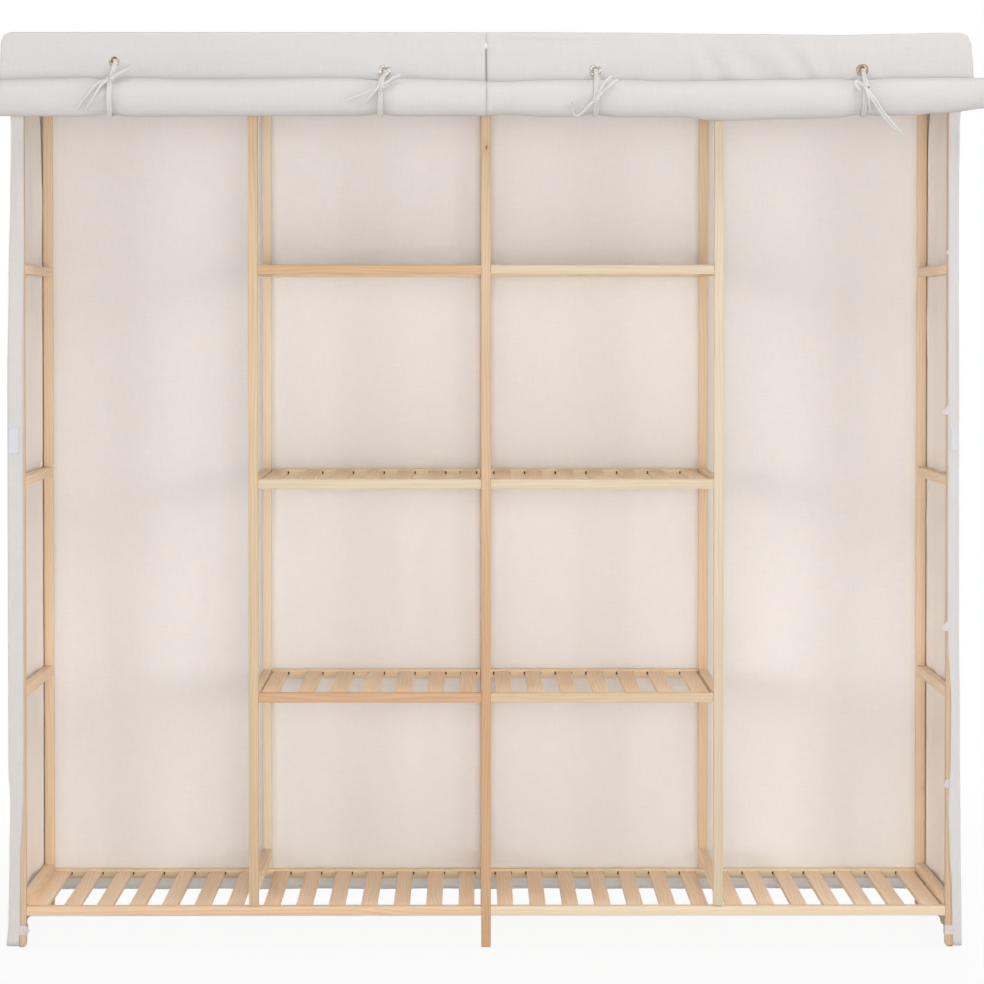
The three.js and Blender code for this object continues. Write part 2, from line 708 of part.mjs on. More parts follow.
// A tie is one cord with its knot and its loose strands
function tie(route, eyelet) {
  const [knotAcross, knotDegrees] = route.knot;
  const knot = new THREE.SphereGeometry(1 / 2, 10, 6);
  knot.scale(tieKnotLength, tieKnotWidth, tieKnotWidth);
  const heart = roundRoll(eyelet.x + knotAcross, knotDegrees, (tieKnotWidth - tieDiameter) / 2);
  knot.translate(heart.x, heart.y, heart.z);
  const pieces = [cordTube(tieLoop(eyelet, knotAcross, knotDegrees), tieLoopSteps, tieDiameter), knot];
  for (const strand of route.strands) {
    const points = strand.map(([across, degrees, lift]) => roundRoll(eyelet.x + across, degrees, lift));
    pieces.push(cordTube(points, tieStrandSteps, tieDiameter));
  }
  return joined(pieces);
}
tieRoutes.forEach((route, index) => {
  addPiece(`tie_${eyelets[index].name}`, tie(route, eyelets[index]), cordCotton);
});

// The origin is the middle of the footprint of all but the tie cords
const footprint = new THREE.Box3();
for (const mesh of frame.children) {
  if (mesh.material !== cordCotton) footprint.expandByObject(mesh);
}
frame.position.y = -(footprint.min.y + footprint.max.y) / 2;

export default wardrobe;
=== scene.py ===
import math

import bmesh
import bpy
import numpy as np
from mathutils import Matrix, Vector, noise


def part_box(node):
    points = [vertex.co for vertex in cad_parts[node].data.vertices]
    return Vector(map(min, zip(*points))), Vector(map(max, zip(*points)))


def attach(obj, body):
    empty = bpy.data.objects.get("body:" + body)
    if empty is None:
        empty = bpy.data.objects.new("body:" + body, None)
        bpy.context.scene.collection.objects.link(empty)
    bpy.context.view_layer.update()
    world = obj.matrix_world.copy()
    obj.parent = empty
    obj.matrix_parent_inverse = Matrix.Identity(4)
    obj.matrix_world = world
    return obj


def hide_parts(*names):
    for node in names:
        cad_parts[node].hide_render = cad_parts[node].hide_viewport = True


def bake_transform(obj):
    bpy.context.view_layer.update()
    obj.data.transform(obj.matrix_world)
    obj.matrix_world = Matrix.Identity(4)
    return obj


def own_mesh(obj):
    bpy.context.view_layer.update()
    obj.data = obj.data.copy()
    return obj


# Portable fabric wardrobe: pine sticks, slatted shelves and a loose cloth cover with rolled-up curtains.
# Metres, +Z up, the front faces -Y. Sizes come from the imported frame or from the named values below.
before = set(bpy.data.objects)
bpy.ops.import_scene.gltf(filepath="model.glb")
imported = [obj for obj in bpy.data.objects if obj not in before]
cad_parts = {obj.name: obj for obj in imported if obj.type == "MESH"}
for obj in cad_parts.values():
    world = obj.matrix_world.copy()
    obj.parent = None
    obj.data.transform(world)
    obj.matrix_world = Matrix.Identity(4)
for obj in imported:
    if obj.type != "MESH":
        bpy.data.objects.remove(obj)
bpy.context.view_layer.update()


def low(node):
    return Vector(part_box(node)[0])


def high(node):
    return Vector(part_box(node)[1])


def middle_of(node):
    return (low(node) + high(node)) / 2


sides = {"left": -1, "right": 1}


# ---------------------------------------------------------------- camera and cords

# The camera stands nearly straight in front, between the two upper shelves, and looks down a little
image_pixels = 984
focal_pixels = 3462
sensor_millimetres = 36
camera_place = Vector((-0.0262, -6.627, 1.177))
camera_tilt = math.radians(1.39)
camera_turn = math.radians(0.233)
frame_right_pixels = 6
frame_down_pixels = 92

camera_data = bpy.data.cameras.new("camera")
camera_data.sensor_width = sensor_millimetres
camera_data.lens = focal_pixels / image_pixels * sensor_millimetres
camera_data.shift_x = frame_right_pixels / image_pixels
camera_data.shift_y = -frame_down_pixels / image_pixels
camera = bpy.data.objects.new("camera", camera_data)
camera.location = camera_place
camera.rotation_euler = (math.pi / 2 - camera_tilt, 0, -camera_turn)
bpy.context.scene.collection.objects.link(camera)
bpy.context.scene.camera = camera

# Rolled curtains: where their cloth winds
roll_radius = 0.0325
roll_turns = 12
turn_pitch = 0.0024
curtain_back = high("curtain_band_left").y
curtain_front = low("curtain_band_left").y
curtain_middle = (curtain_back + curtain_front) / 2
roll_axis_y = curtain_back - roll_radius
roll_axis_z = low("curtain_roll_left").z + roll_radius - turn_pitch / 4

# Tie cords
tie_diameter = 0.0046
tie_clearance = 0.0005
tie_sides = 12
tie_flatness = 0.12
tip_degrees = (35, 70)
front_lift = 0.001
rising_step = 26
over_top = 76
under_step = 30
knot_degrees = 12
ease_degrees = 120
loop_steps = 4
strand_steps = 6
strand_lift = 0.004
# Through the eyelet: shares of the reach in front of the curtain and behind it, and of the dip
eyelet_dip = 0.006
eyelet_half_depth = 0.00215
through_eyelet = ((-1, 1), (-0.5, 0), (0, 0), (0.5, 0), (1, 1))
# Behind the curtain: shares of the way across to the hole, and of the roll's radius up from its axis
behind_curtain = ((0.6, 0.7), (0.4, 0))
# The knots, and the strands that leave them: across from the eyelet, degrees round the roll from its front, and
# lift off the roll
tie_routes = {
    "outer_left": {"knot": (-0.006, 50), "strands": [
        [(-0.022, 36, 0.005), (-0.040, 8, 0.003), (-0.056, -24, 0.001), (-0.064, -40, 0.001)],
        [(-0.018, 28, 0.006), (-0.032, -6, 0.004), (-0.044, -34, 0.001), (-0.048, -50, 0.001)],
        [(0.008, 56, 0.010), (0.024, 62, 0.018), (0.040, 64, 0.025)],
    ]},
    "inner_left": {"knot": (-0.009, 21), "strands": [
        [(-0.025, 14, 0.006), (-0.043, 2, 0.004), (-0.061, -8, 0.001), (-0.067, -14, 0.001)],
        [(-0.019, 8, 0.007), (-0.031, -14, 0.005), (-0.042, -26, 0.001)],
        [(0.003, 32, 0.008), (0.017, 44, 0.012), (0.029, 50, 0.014)],
    ]},
    "inner_right": {"knot": (-0.003, -12), "strands": [
        [(-0.013, -22, 0.009), (-0.025, -42, 0.009), (-0.034, -56, 0.008), (-0.042, -50, 0.006),
         (-0.044, -34, 0.004), (-0.042, -16, 0.003)],
        [(0.009, 6, 0.008), (0.023, 24, 0.009), (0.037, 42, 0.008)],
        [(0.005, 10, 0.009), (0.017, 34, 0.012), (0.027, 46, 0.014)],
    ]},
    "outer_right": {"knot": (-0.004, 27), "strands": [
        [(0.012, -2, 0.007), (0.031, -40, 0.008), (0.050, -62, 0.022), (0.070, -76, 0.037)],
        [(0.008, -5, 0.007), (0.027, -43, 0.009), (0.045, -63, 0.022), (0.057, -70, 0.030)],
        [(-0.012, 38, 0.006), (-0.019, 40, 0.006), (-0.020, 28, 0.005), (-0.012, 16, 0.005)],
        [(0.002, 2, 0.007), (0.006, -26, 0.004), (0.008, -46, 0.001)],
    ]},
}


def round_roll(x, degrees, lift):
    """A point near a rolled curtain: across, round it from its front (0 degrees) up, and off its cloth."""
    radius = roll_radius + tie_diameter / 2 + tie_clearance + lift
    angle = math.radians(degrees)
    return Vector((x, roll_axis_y - radius * math.cos(angle), roll_axis_z + radius * math.sin(angle)))


def tie_loop(eyelet, knot_across, knot_angle, beside, hole_beside):
    """The cord's way from its knot up through the eyelet, down behind the curtain and under the roll."""
    knot_x = eyelet.x + knot_across + beside
    hole_x = eyelet.x + hole_beside
    behind_y = curtain_back + tie_diameter / 2 + tie_clearance
    out_reach = eyelet_half_depth + tie_diameter / 2 + tie_clearance

    def across(share):
        return knot_x + (hole_x - knot_x) * share

    points = [round_roll(knot_x, knot_angle, 0)]
    for angle in range(knot_angle + rising_step, over_top + 1, rising_step):
        points.append(round_roll(across((angle - knot_angle) / ease_degrees), angle, front_lift))
    for out, dip in through_eyelet:
        points.append(Vector((hole_x, curtain_middle + out * out_reach, eyelet.z - dip * eyelet_dip)))
    for share, rise in behind_curtain:
        points.append(Vector((across(share), behind_y, roll_axis_z + roll_radius * rise)))
    for angle in range(under_step - 180, knot_angle - knot_degrees, under_step):
        points.append(round_roll(knot_x, angle, 0))
    points.append(round_roll(knot_x, knot_angle, front_lift))
    return points


def mesh_piece(name, points, faces, runs=None):
    """A mesh object. Runs, where given, holds each face corner's place along the cloth or the cord."""
    mesh = bpy.data.meshes.new(name)
    mesh.from_pydata([tuple(point) for point in points], [], faces)
    if runs is not None:
        layer = mesh.uv_layers.new(name="run")
        layer.data.foreach_set("uv", np.asarray(runs, dtype=np.float32).ravel())
    mesh.update()
    piece = bpy.data.objects.new(name, mesh)
    bpy.context.scene.collection.objects.link(piece)
    return piece


def smooth_route(points, steps):
    """A smooth curve through the points."""
    ends = [points[0] * 2 - points[1], *points, points[-1] * 2 - points[-2]]
    route = []
    for a, b, c, d in zip(ends, ends[1:], ends[2:], ends[3:]):
        for step in range(steps):
            t = step / steps
            route.append((b * 2 + (c - a) * t + (a * 2 - b * 5 + c * 4 - d) * t * t
                          + (b * 3 - a - c * 3 + d) * t * t * t) / 2)
    return route + [points[-1].copy()]


def tube(name, route, diameter, closed=False, flatness=0.0):
    """A cord as a tube along a route: a closed ring, or with rounded tips."""
    rings, sizes, places = list(route), [1.0] * len(route), [0.0]
    for one, two in zip(route, route[1:]):
        places.append(places[-1] + (two - one).length)
    length = places[-1]
    if not closed:
        first = (route[0] - route[1]).normalized()
        last = (route[-1] - route[-2]).normalized()
        for degrees in tip_degrees:
            out, size = math.sin(math.radians(degrees)), math.cos(math.radians(degrees))
            rings = [route[0] + first * diameter / 2 * out, *rings, route[-1] + last * diameter / 2 * out]
            sizes = [size, *sizes, size]
            places = [-diameter / 2 * out, *places, length + diameter / 2 * out]
    total = len(rings)
    before, after = (rings[-1], rings[0]) if closed else (rings[0], rings[-1])
    padded = [before, *rings, after]
    side = (padded[2] - padded[0]).normalized().cross(Vector((0, 1, 0))).normalized()
    points = []
    for behind, centre, ahead, size in zip(padded, rings, padded[2:], sizes):
        way = (ahead - behind).normalized()
        side = (side - way * side.dot(way)).normalized()
        other = way.cross(side)
        for corner in range(tie_sides):
            angle = 2 * math.pi * corner / tie_sides
            wide = diameter / 2 * size * (1 + flatness) * math.cos(angle)
            deep = diameter / 2 * size * (1 - flatness) * math.sin(angle)
            points.append(centre + side * wide + other * deep)
    corners = np.arange(total * tie_sides).reshape(total, tie_sides).tolist()
    places.append(places[-1] + (rings[0] - rings[-1]).length)
    faces, runs = [], []
    for ring in range(total if closed else total - 1):
        these, those = corners[ring], corners[(ring + 1) % total]
        for corner in range(tie_sides):
            beside = (corner + 1) % tie_sides
            faces.append((these[corner], these[beside], those[beside], those[corner]))
            one, two = corner / tie_sides, (corner + 1) / tie_sides
            runs += [(one, places[ring]), (two, places[ring]), (two, places[ring + 1]), (one, places[ring + 1])]
    if not closed:
        for ring, way in ((0, -1), (total - 1, 1)):
            faces.append(tuple(corners[ring][::way]))
            runs += [(corner / tie_sides, places[ring]) for corner in range(tie_sides)]
    piece = mesh_piece(name, points, faces, runs)
    piece.data.shade_smooth()
    return piece


def run_length(route):
    return sum((two - one).length for one, two in zip(route, route[1:]))


knot_half_length = 0.0064
knot_half_depth = 0.0034
knot_height_share = 1.25
knot_cord_share = 0.9
knot_steps = 48
second_loop_beside = 0.0044
second_loop_hole_beside = 0.0036
tie_pieces = []


def knot_ring(centre):
    """The knot's windings: one closed curve that wraps three times round its own heart."""
    points = []
    for step in range(knot_steps):
        t = 2 * math.pi * step / knot_steps
        around = (2 + math.cos(3 * t)) / 3
        points.append(centre + Vector((
            knot_half_length * around * math.cos(2 * t),
            -knot_half_depth * math.sin(3 * t),
            knot_half_depth * knot_height_share * around * math.sin(2 * t),
        )))
    return points


for tie_name, tie_route in tie_routes.items():
    eyelet = middle_of(f"eyelet_{tie_name}")
    knot_across, knot_angle = tie_route["knot"]
    heart = round_roll(eyelet.x + knot_across + second_loop_beside / 2, knot_angle, knot_half_depth)
    knot = tube(f"tie_{tie_name}_knot", knot_ring(heart), tie_diameter * knot_cord_share, closed=True)
    routes = []
    for number, besides in enumerate(((0, 0), (second_loop_beside, second_loop_hole_beside)), 1):
        loop_points = tie_loop(eyelet, knot_across, knot_angle, *besides)
        routes.append((f"loop_{number}", smooth_route(loop_points, loop_steps), "knot", "taut"))
    for number, strand in enumerate(tie_route["strands"], 1):
        strand = [(knot_across, knot_angle, strand_lift), *strand]
        points = [round_roll(eyelet.x + across, degrees, lift) for across, degrees, lift in strand]
        routes.append((f"strand_{number}", smooth_route(points, strand_steps), "bare", "loose"))
    cords = []
    for part, route, far_end, lay in routes:
        cord = tube(f"tie_{tie_name}_{part}", route, tie_diameter, flatness=tie_flatness)
        round(run_length(route), 4)
        [knot] if part == "loop_1" else []
        cords.append(cord)
    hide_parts(f"tie_{tie_name}")
    for piece in cords + [knot]:
        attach(piece, "frame")
        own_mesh(piece)
        tie_pieces.append(piece)

# ---------------------------------------------------------------- shader tools


def srgb(colour):
    """A linear colour from the three numbers of a picture's colour."""
    shares = [channel / 255 for channel in colour]
    return (*(s / 12.92 if s <= 0.04045 else ((s + 0.055) / 1.055) ** 2.4 for s in shares), 1.0)


class Value:
    """A number that varies over a surface. Its operators add the Math nodes."""

    def __init__(self, shader, socket):
        self.shader = shader
        self.socket = socket

    def maths(self, operation, *others):
        inputs = dict(enumerate((self, *others)))
        return Value(self.shader, self.shader.node("ShaderNodeMath", {"operation": operation}, inputs).outputs[0])

    def __add__(self, other):
        return self.maths("ADD", other)

    def __sub__(self, other):
        return self.maths("SUBTRACT", other)

    def __rsub__(self, other):
        return (self * -1) + other

    def __mul__(self, other):
        return self.maths("MULTIPLY", other)

    def __pow__(self, other):
        return self.maths("POWER", other)

    def sine(self):
        return self.maths("SINE")

    def size(self):
        return self.maths("ABSOLUTE")

    def least(self, other):
        return self.maths("MINIMUM", other)

    def most(self, other):
        return self.maths("MAXIMUM", other)

    def between(self, start, end, least=0.0):
        """The least value below start, 1 above end, smooth between them."""
        ranged = self.shader.node("ShaderNodeMapRange", {"interpolation_type": "SMOOTHSTEP"},
                                  {"Value": self, "From Min": start, "From Max": end, "To Min": least})
        return Value(self.shader, ranged.outputs["Result"])


class Shader:
    """A new material or world being made, with values for the sockets of its Principled BSDF."""

    def __init__(self, made, values=None):
        made.use_nodes = True
        self.made = made
        self.tree = made.node_tree
        self.surface = self.tree.nodes.get("Principled BSDF")
        for socket, value in (values or {}).items():
            self.surface.inputs[socket].default_value = value

    def node(self, kind, settings=None, values=None):
        """Adds a node: its settings first, then the values or links of its sockets."""
        made = self.tree.nodes.new(kind)
        for setting, value in (settings or {}).items():
            setattr(made, setting, value)
        for key, value in (values or {}).items():
            value = getattr(value, "socket", value)
            if isinstance(value, bpy.types.NodeSocket):
                self.tree.links.new(value, made.inputs[key])
            else:
                made.inputs[key].default_value = value
        return made

    def parts(self, vector):
        return [Value(self, part) for part in self.node("ShaderNodeSeparateXYZ", None, {0: vector}).outputs]

    def place(self):
        """The three Object coordinates, in metres."""
        return self.parts(self.node("ShaderNodeTexCoord").outputs["Object"])

    def run(self):
        """Metres across and along a cloth, or the share round a cord and metres along it."""
        return self.parts(self.node("ShaderNodeUVMap", {"uv_map": "run"}).outputs[0])[:2]

    def vector(self, x, y, z=0.0):
        return self.node("ShaderNodeCombineXYZ", None, {0: x, 1: y, 2: z}).outputs[0]

    def noise(self, vector, detail=2.0):
        """Soft noise from 0 to 1, one unit of the vector wide."""
        made = self.node("ShaderNodeTexNoise", None, {"Vector": vector, "Scale": 1.0, "Detail": detail})
        return Value(self, made.outputs["Fac"])

    def blend(self, share, first, second):
        """A colour between two others, each a socket or the three numbers of a picture's colour."""
        first, second = (srgb(end) if isinstance(end, tuple) else end for end in (first, second))
        return self.node("ShaderNodeMix", {"data_type": "RGBA"}, {0: share, 6: first, 7: second}).outputs[2]

    def feed(self, socket, value):
        """Links a value to a socket of the Principled BSDF."""
        self.tree.links.new(getattr(value, "socket", value), self.surface.inputs[socket])

    def tone(self, share, light, dark):
        """Colours the surface between two colours. The share is kept from 0 to 1."""
        self.feed("Base Color", self.blend(share.most(0).least(1), light, dark))

    def bump(self, height, distance, strength):
        made = self.node("ShaderNodeBump", None, {"Height": height, "Distance": distance, "Strength": strength})
        self.feed("Normal", made.outputs[0])


# ---------------------------------------------------------------- light and stage

world_light = 0.13
wardrobe_heart = (0, 0, 0.9)
# Soft boxes: name, place, side length, power and aim
soft_boxes = [
    ("left", (-4.2, -8.9, 1.4), 2.0, 92, wardrobe_heart),
    ("right", (4.2, -8.9, 1.4), 2.0, 88, wardrobe_heart),
    ("camera", (0.4, -8.2, 0.9), 1.4, 92, wardrobe_heart),
    ("low", (0.0, -4.5, 0.3), 2.4, 43, (0, 0, 1.5)),
    ("top", (0.9, -1.5, 5.0), 2.6, 94, wardrobe_heart),
    ("far_left", (-7.5, -3.2, 1.4), 2.2, 180, wardrobe_heart),
    ("far_right", (7.5, -3.2, 1.4), 2.2, 160, wardrobe_heart),
    ("left_side", (-5.4, 1.6, 2.8), 2.2, 62, (0, 0, 1.2)),
    ("right_side", (5.4, 1.6, 2.8), 2.2, 66, (0, 0, 1.2)),
    ("back", (0.6, 3.6, 3.6), 2.2, 88, (0, 0.2, 1.2)),
]
floor_half = 30.0
floor_colour = (0.68, 0.68, 0.675, 1)
floor_roughness = 0.9
floor_white_near = 0.92
floor_white_from = 1.1
floor_white_to = 2.6


def white_where_seen(shader, lit, white, share=1.0):
    """Mixes a lit surface with a share of plain white where the camera, glass or a mirror finish sees it."""
    rays = shader.node("ShaderNodeLightPath").outputs
    seen = Value(shader, rays["Is Camera Ray"])
    for ray in ("Is Glossy Ray", "Is Transmission Ray"):
        seen = seen.most(Value(shader, rays[ray]))
    return shader.node("ShaderNodeMixShader", None, {0: seen * share, 1: lit, 2: white}).outputs[0]


def make_world():
    world = bpy.data.worlds.new("studio")
    bpy.context.scene.world = world
    shader = Shader(world)
    shader.tree.nodes.clear()
    light, white = (
        shader.node("ShaderNodeBackground", None, {"Color": (1, 1, 1, 1), "Strength": strength}).outputs[0]
        for strength in (world_light, 1.0)
    )
    shader.node("ShaderNodeOutputWorld", None, {"Surface": white_where_seen(shader, light, white)})


def make_lamps():
    for name, place, side_length, power, aim in soft_boxes:
        data = bpy.data.lights.new(f"{name}_softbox", "AREA")
        data.shape = "SQUARE"
        data.size = side_length
        data.energy = power
        lamp = bpy.data.objects.new(f"{name}_softbox", data)
        lamp.location = place
        lamp.rotation_euler = (Vector(aim) - lamp.location).to_track_quat("-Z", "Y").to_euler()
        bpy.context.scene.collection.objects.link(lamp)


def make_floor():
    """A pale floor: lit and shadowed near the wardrobe, plain white further off."""
    corners = [(x * floor_half, y * floor_half, 0) for x, y in ((-1, -1), (1, -1), (1, 1), (-1, 1))]
    floor = mesh_piece("floor", corners, [(0, 1, 2, 3)])
    shader = Shader(bpy.data.materials.new("studio_floor"), {"Base Color": floor_colour, "Roughness": floor_roughness})
    place = shader.node("ShaderNodeTexCoord").outputs["Object"]
    away = Value(shader, shader.node("ShaderNodeVectorMath", {"operation": "LENGTH"}, {0: place}).outputs["Value"])
    share = away.between(floor_white_from, floor_white_to, floor_white_near)
    white = shader.node("ShaderNodeEmission").outputs[0]
    mixed = white_where_seen(shader, shader.surface.outputs[0], white, share)
    shader.tree.links.new(mixed, shader.tree.nodes["Material Output"].inputs["Surface"])
    floor.data.materials.append(shader.made)


make_world()
make_lamps()
make_floor()
bpy.context.scene.view_settings.view_transform = "Standard"

# ---------------------------------------------------------------- materials

# Tones of the same wood, as one bundle of sticks has them: early wood and late wood. The slat and back-rail tones are
# made lighter as painted light, and the mortise tone is dark as painted shade
pine_tones = {
    "rosy": ((220, 187, 153), (197, 151, 110)),
    "plain": ((234, 207, 175), (213, 174, 134)),
    "pale": ((247, 232, 210), (232, 210, 179)),
    "tan": ((219, 194, 163), (196, 160, 123)),
    "honey": ((246, 221, 190), (229, 194, 157)),
    "cream": ((223, 208, 185), (206, 183, 151)),
    "light": ((238, 220, 195), (222, 196, 164)),
    "russet": ((214, 178, 142), (190, 142, 100)),
    "sand": ((222, 199, 171), (200, 167, 132)),
    "bar": ((241, 219, 191), (224, 191, 154)),
    "slat": ((251, 228, 200), (236, 202, 166)),
    "mortise_shade": ((126, 92, 58), (96, 68, 42)),
    "back_rail": ((250, 230, 198), (236, 205, 168)),
}
ring_pitch = 0.0046
branch_tone = (134, 84, 48)
# The one knot that shows on the centre post, on its front face
centre_knot = (0.0008, -0.1975, 1.4895)
knot_wide = 0.0027
knot_tone = (150, 106, 66)


def pine(name, grain, tone, knots=False, turning=None, knot=None):
    """Planed, clear-sealed pine with its grain along the named axis. It may turn to another tone further down,
    and have one knot at a given place."""
    shader = Shader(bpy.data.materials.new(name), {"Specular IOR Level": 0.35})
    light, dark = pine_tones[tone]
    x, y, z = shader.place()
    along, across, through = {"X": (x, y, z), "Y": (y, z, x), "Z": (z, x, y)}[grain]

    def streaks(wide, long, detail=2.0):
        return shader.noise(shader.vector(across * wide, through * wide, along * long), detail)

    sway = streaks(9, 1.3, 3.0) * 0.05
    rings = ((across * 0.75 + through * 0.66 + sway) * (2 * math.pi / ring_pitch)).sine() * 0.5 + 0.5
    late = rings ** 2.2
    fibres = streaks(1400, 26)
    boards = streaks(22, 0.6, 1.0).between(0.32, 0.68)
    long_tone = streaks(50, 3.0).between(0.25, 0.75)
    share = late * 0.34 + fibres * 0.22 + boards * 0.26 + long_tone * 0.22
    base = shader.blend(share, light, dark)
    if turning:
        other, low_end, high_end = turning
        upper = (along + streaks(30, 2.0) * 0.2 - 0.1).between(low_end, high_end)
        base = shader.blend(upper, shader.blend(share, *pine_tones[other]), base)
    height = fibres * 0.6 - late * 0.5
    if knots:
        cells = shader.node("ShaderNodeTexVoronoi", None, {
            "Vector": shader.vector(across * 10, through * 10, along * 8.2), "Scale": 1.0, "Randomness": 1.0})
        near = Value(shader, cells.outputs["Distance"])
        spot = 1 - near.between(0.025, 0.06)
        base = shader.blend((1 - near.between(0.05, 0.16)) * 0.4, base, dark)
        base = shader.blend(spot, base, branch_tone)
        height = height - spot * 0.8
    elif knot:
        away_x, away_y, away_z = (part - heart for part, heart in zip((x, y, z), knot))
        near = (away_x * away_x + away_y * away_y + away_z * away_z * 0.2) ** 0.5
        base = shader.blend((1 - near.between(knot_wide, knot_wide * 4)) * 0.45, base, dark)
        base = shader.blend(1 - near.between(knot_wide * 0.4, knot_wide), base, knot_tone)
    shader.feed("Base Color", base)
    shader.feed("Roughness", fibres * 0.14 + late * 0.06 + 0.46)
    shader.bump(height, 0.00012, 0.5)
    return shader.made


def woven(name, light, dark, pitch=0.0011, slub=0.6, thin=0.0, depth=0.0012):
    """Plain woven cloth: a fine even weave with thicker slubs both ways and soft clouds of tone.
    Thin cloth lets some of the light through."""
    shader = Shader(bpy.data.materials.new(name), {
        "Roughness": 0.92, "Sheen Weight": 0.15, "Specular IOR Level": 0.2, "Subsurface Weight": thin,
        "Subsurface Radius": (1.0, 0.92, 0.85), "Subsurface Scale": depth})
    across, along = shader.run()
    warp, weft = ((way * (math.pi / pitch)).sine() for way in (across, along))
    weave = (warp * weft).size()
    slub_long = shader.noise(shader.vector(across * 420, along * 26))
    slub_wide = shader.noise(shader.vector(across * 26, along * 420))
    slubs = (slub_long + slub_wide) * 0.5
    clouds = shader.noise(shader.vector(across * 3.1, along * 2.3), 3.0)
    shader.tone((slubs - 0.5) * 1.9 * slub + (clouds - 0.5) * 0.55 + weave * 0.12 + 0.42, light, dark)
    shader.bump(weave * 0.35 + slubs * slub, 0.0006, 0.45)
    return shader.made


def cord_cotton(name, light, dark):
    """Soft braided cord: two sets of yarns that cross on its surface."""
    shader = Shader(bpy.data.materials.new(name), {"Roughness": 0.9, "Sheen Weight": 0.2, "Specular IOR Level": 0.2})
    around, along = shader.run()
    yarns, lay = around * (2 * math.pi * 4), along * (2 * math.pi / 0.0046)
    braid = (yarns + lay).sine().most((yarns - lay).sine())
    fuzz = shader.noise(shader.vector(around * 9, along * 900), 3.0)
    # The tone darkens in the braid's grooves between the yarns: painted shade
    shader.tone(braid * -0.22 + fuzz * 0.3 + 0.25, light, dark)
    shader.bump(braid + fuzz * 0.5, 0.0005, 0.6)
    return shader.made


def eyelet_metal(name, light, dark):
    """Pressed metal, a little dulled, with fine scratches round the ring."""
    shader = Shader(bpy.data.materials.new(name), {"Metallic": 1.0})
    x, y, z = shader.place()
    patina = shader.noise(shader.vector(x * 260, y * 260, z * 260), 3.0)
    scratch = shader.noise(shader.vector(x * 2400, y * 300, z * 900))
    shader.feed("Base Color", shader.blend(patina.between(0.3, 0.75), light, dark))
    shader.feed("Roughness", patina * 0.25 + scratch * 0.15 + 0.2)
    shader.bump(scratch, 0.00006, 0.5)
    return shader.made


def hook_tape(name, light, dark):
    """Hook-and-loop tape: a dense pile of tiny hooks in close rows."""
    shader = Shader(bpy.data.materials.new(name), {"Roughness": 0.85, "Sheen Weight": 0.3, "Specular IOR Level": 0.25})
    across, along = shader.run()
    rows = (across * (2 * math.pi / 0.0016)).sine() * (along * (2 * math.pi / 0.0016)).sine()
    fuzz = shader.noise(shader.vector(across * 900, along * 900), 3.0)
    shader.tone(fuzz * 0.5 + rows * 0.1 + 0.1, light, dark)
    shader.bump(rows + fuzz, 0.0005, 0.6)
    return shader.made


post_pines = {tone: pine(f"post_pine_{tone}", "Z", tone, knots=tone in ("tan", "honey"))
              for tone in ("rosy", "sand", "pale", "tan", "honey", "cream")}
post_pines["centre"] = pine("post_pine_centre", "Z", "tan", turning=("russet", 0.35, 1.35), knot=centre_knot)
rail_pines = {tone: pine(f"rail_pine_{tone}", "X", tone, knots=tone in ("plain", "sand"))
              for tone in ("rosy", "plain", "cream", "sand", "light", "russet")}
bar_pine = pine("bar_pine", "Y", "bar")
# Slats in a lighter tone than the other sticks: painted light on their upper faces
slat_pine = pine("slat_pine", "Y", "slat")
# Dark wood for the mortises' cut faces: painted shade in the nicks
mortise_painted_shade = pine("mortise_painted_shade", "X", "mortise_shade")
# Back rails in a lighter tone than the front rails: painted light on their inner faces
back_rail_painted_light = pine("back_rail_painted_light", "X", "back_rail")
post_tones = {
    "front_post_left": "sand", "front_post_right": "tan", "front_post_centre": "centre",
    "front_inner_post_left": "tan", "front_inner_post_right": "cream",
    "back_post_left": "honey", "back_post_right": "honey", "back_post_centre": "rosy",
    "back_inner_post_left": "pale", "back_inner_post_right": "honey",
}
rail_tones = {
    "shelf_left_high": "rosy", "shelf_left_low": "russet", "shelf_right_low": "sand",
    "bottom_panel_left": "plain", "bottom_panel_right": "light",
}
cover_cloth = woven("cover_cloth", (244, 237, 232), (233, 225, 219), thin=0.55)
# The back cloth is a lighter copy of the cover cloth: painted light inside the wardrobe
back_cloth_painted_light = woven("back_cloth", (248, 246, 245), (240, 236, 234), slub=0.8, thin=0.5)
# The curtains and front flaps take a darker copy of the cover cloth: painted shade on the fronts
curtain_cloth = woven("curtain_cloth", (218, 215, 213), (205, 201, 199))
white_tape = woven("white_tape", (226, 216, 212), (210, 199, 194), pitch=0.0006, slub=0.4)
# The hem is whiter than the back cloth: painted light where the bottom panel shades it; its translucency passes light
# from behind
hem_tape_painted_light = woven("hem_tape_painted_light", (252, 251, 251), (244, 243, 243), pitch=0.0006, slub=0.4, thin=1.0, depth=0.003)
tie_cotton = cord_cotton("tie_cord", (234, 231, 229), (188, 182, 180))
hook_pile = hook_tape("hook_and_loop", (234, 234, 240), (205, 205, 214))
steel = eyelet_metal("eyelet_steel", (186, 180, 174), (118, 110, 104))
eyelet_finishes = {
    "outer_left": eyelet_metal("eyelet_brass", (176, 158, 128), (112, 97, 74)),
    "inner_left": steel, "inner_right": steel,
    "outer_right": eyelet_metal("eyelet_bronze", (160, 142, 126), (100, 86, 76)),
}


def finish_piece(piece, material, body="frame", stands_for=()):
    """Gives a piece its material and its body, and hides the nodes that it stands for."""
    piece.data.materials.clear()
    piece.data.materials.append(material)
    if body:
        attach(piece, body)
    if stands_for:
        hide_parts(*stands_for)


def trim(piece, material, test):
    """Gives the faces whose middle passes the test a second material."""
    piece.data.materials.append(material)
    for face in piece.data.polygons:
        face.material_index = int(test(face.center))


for piece in tie_pieces:
    piece.data.materials.append(tie_cotton)


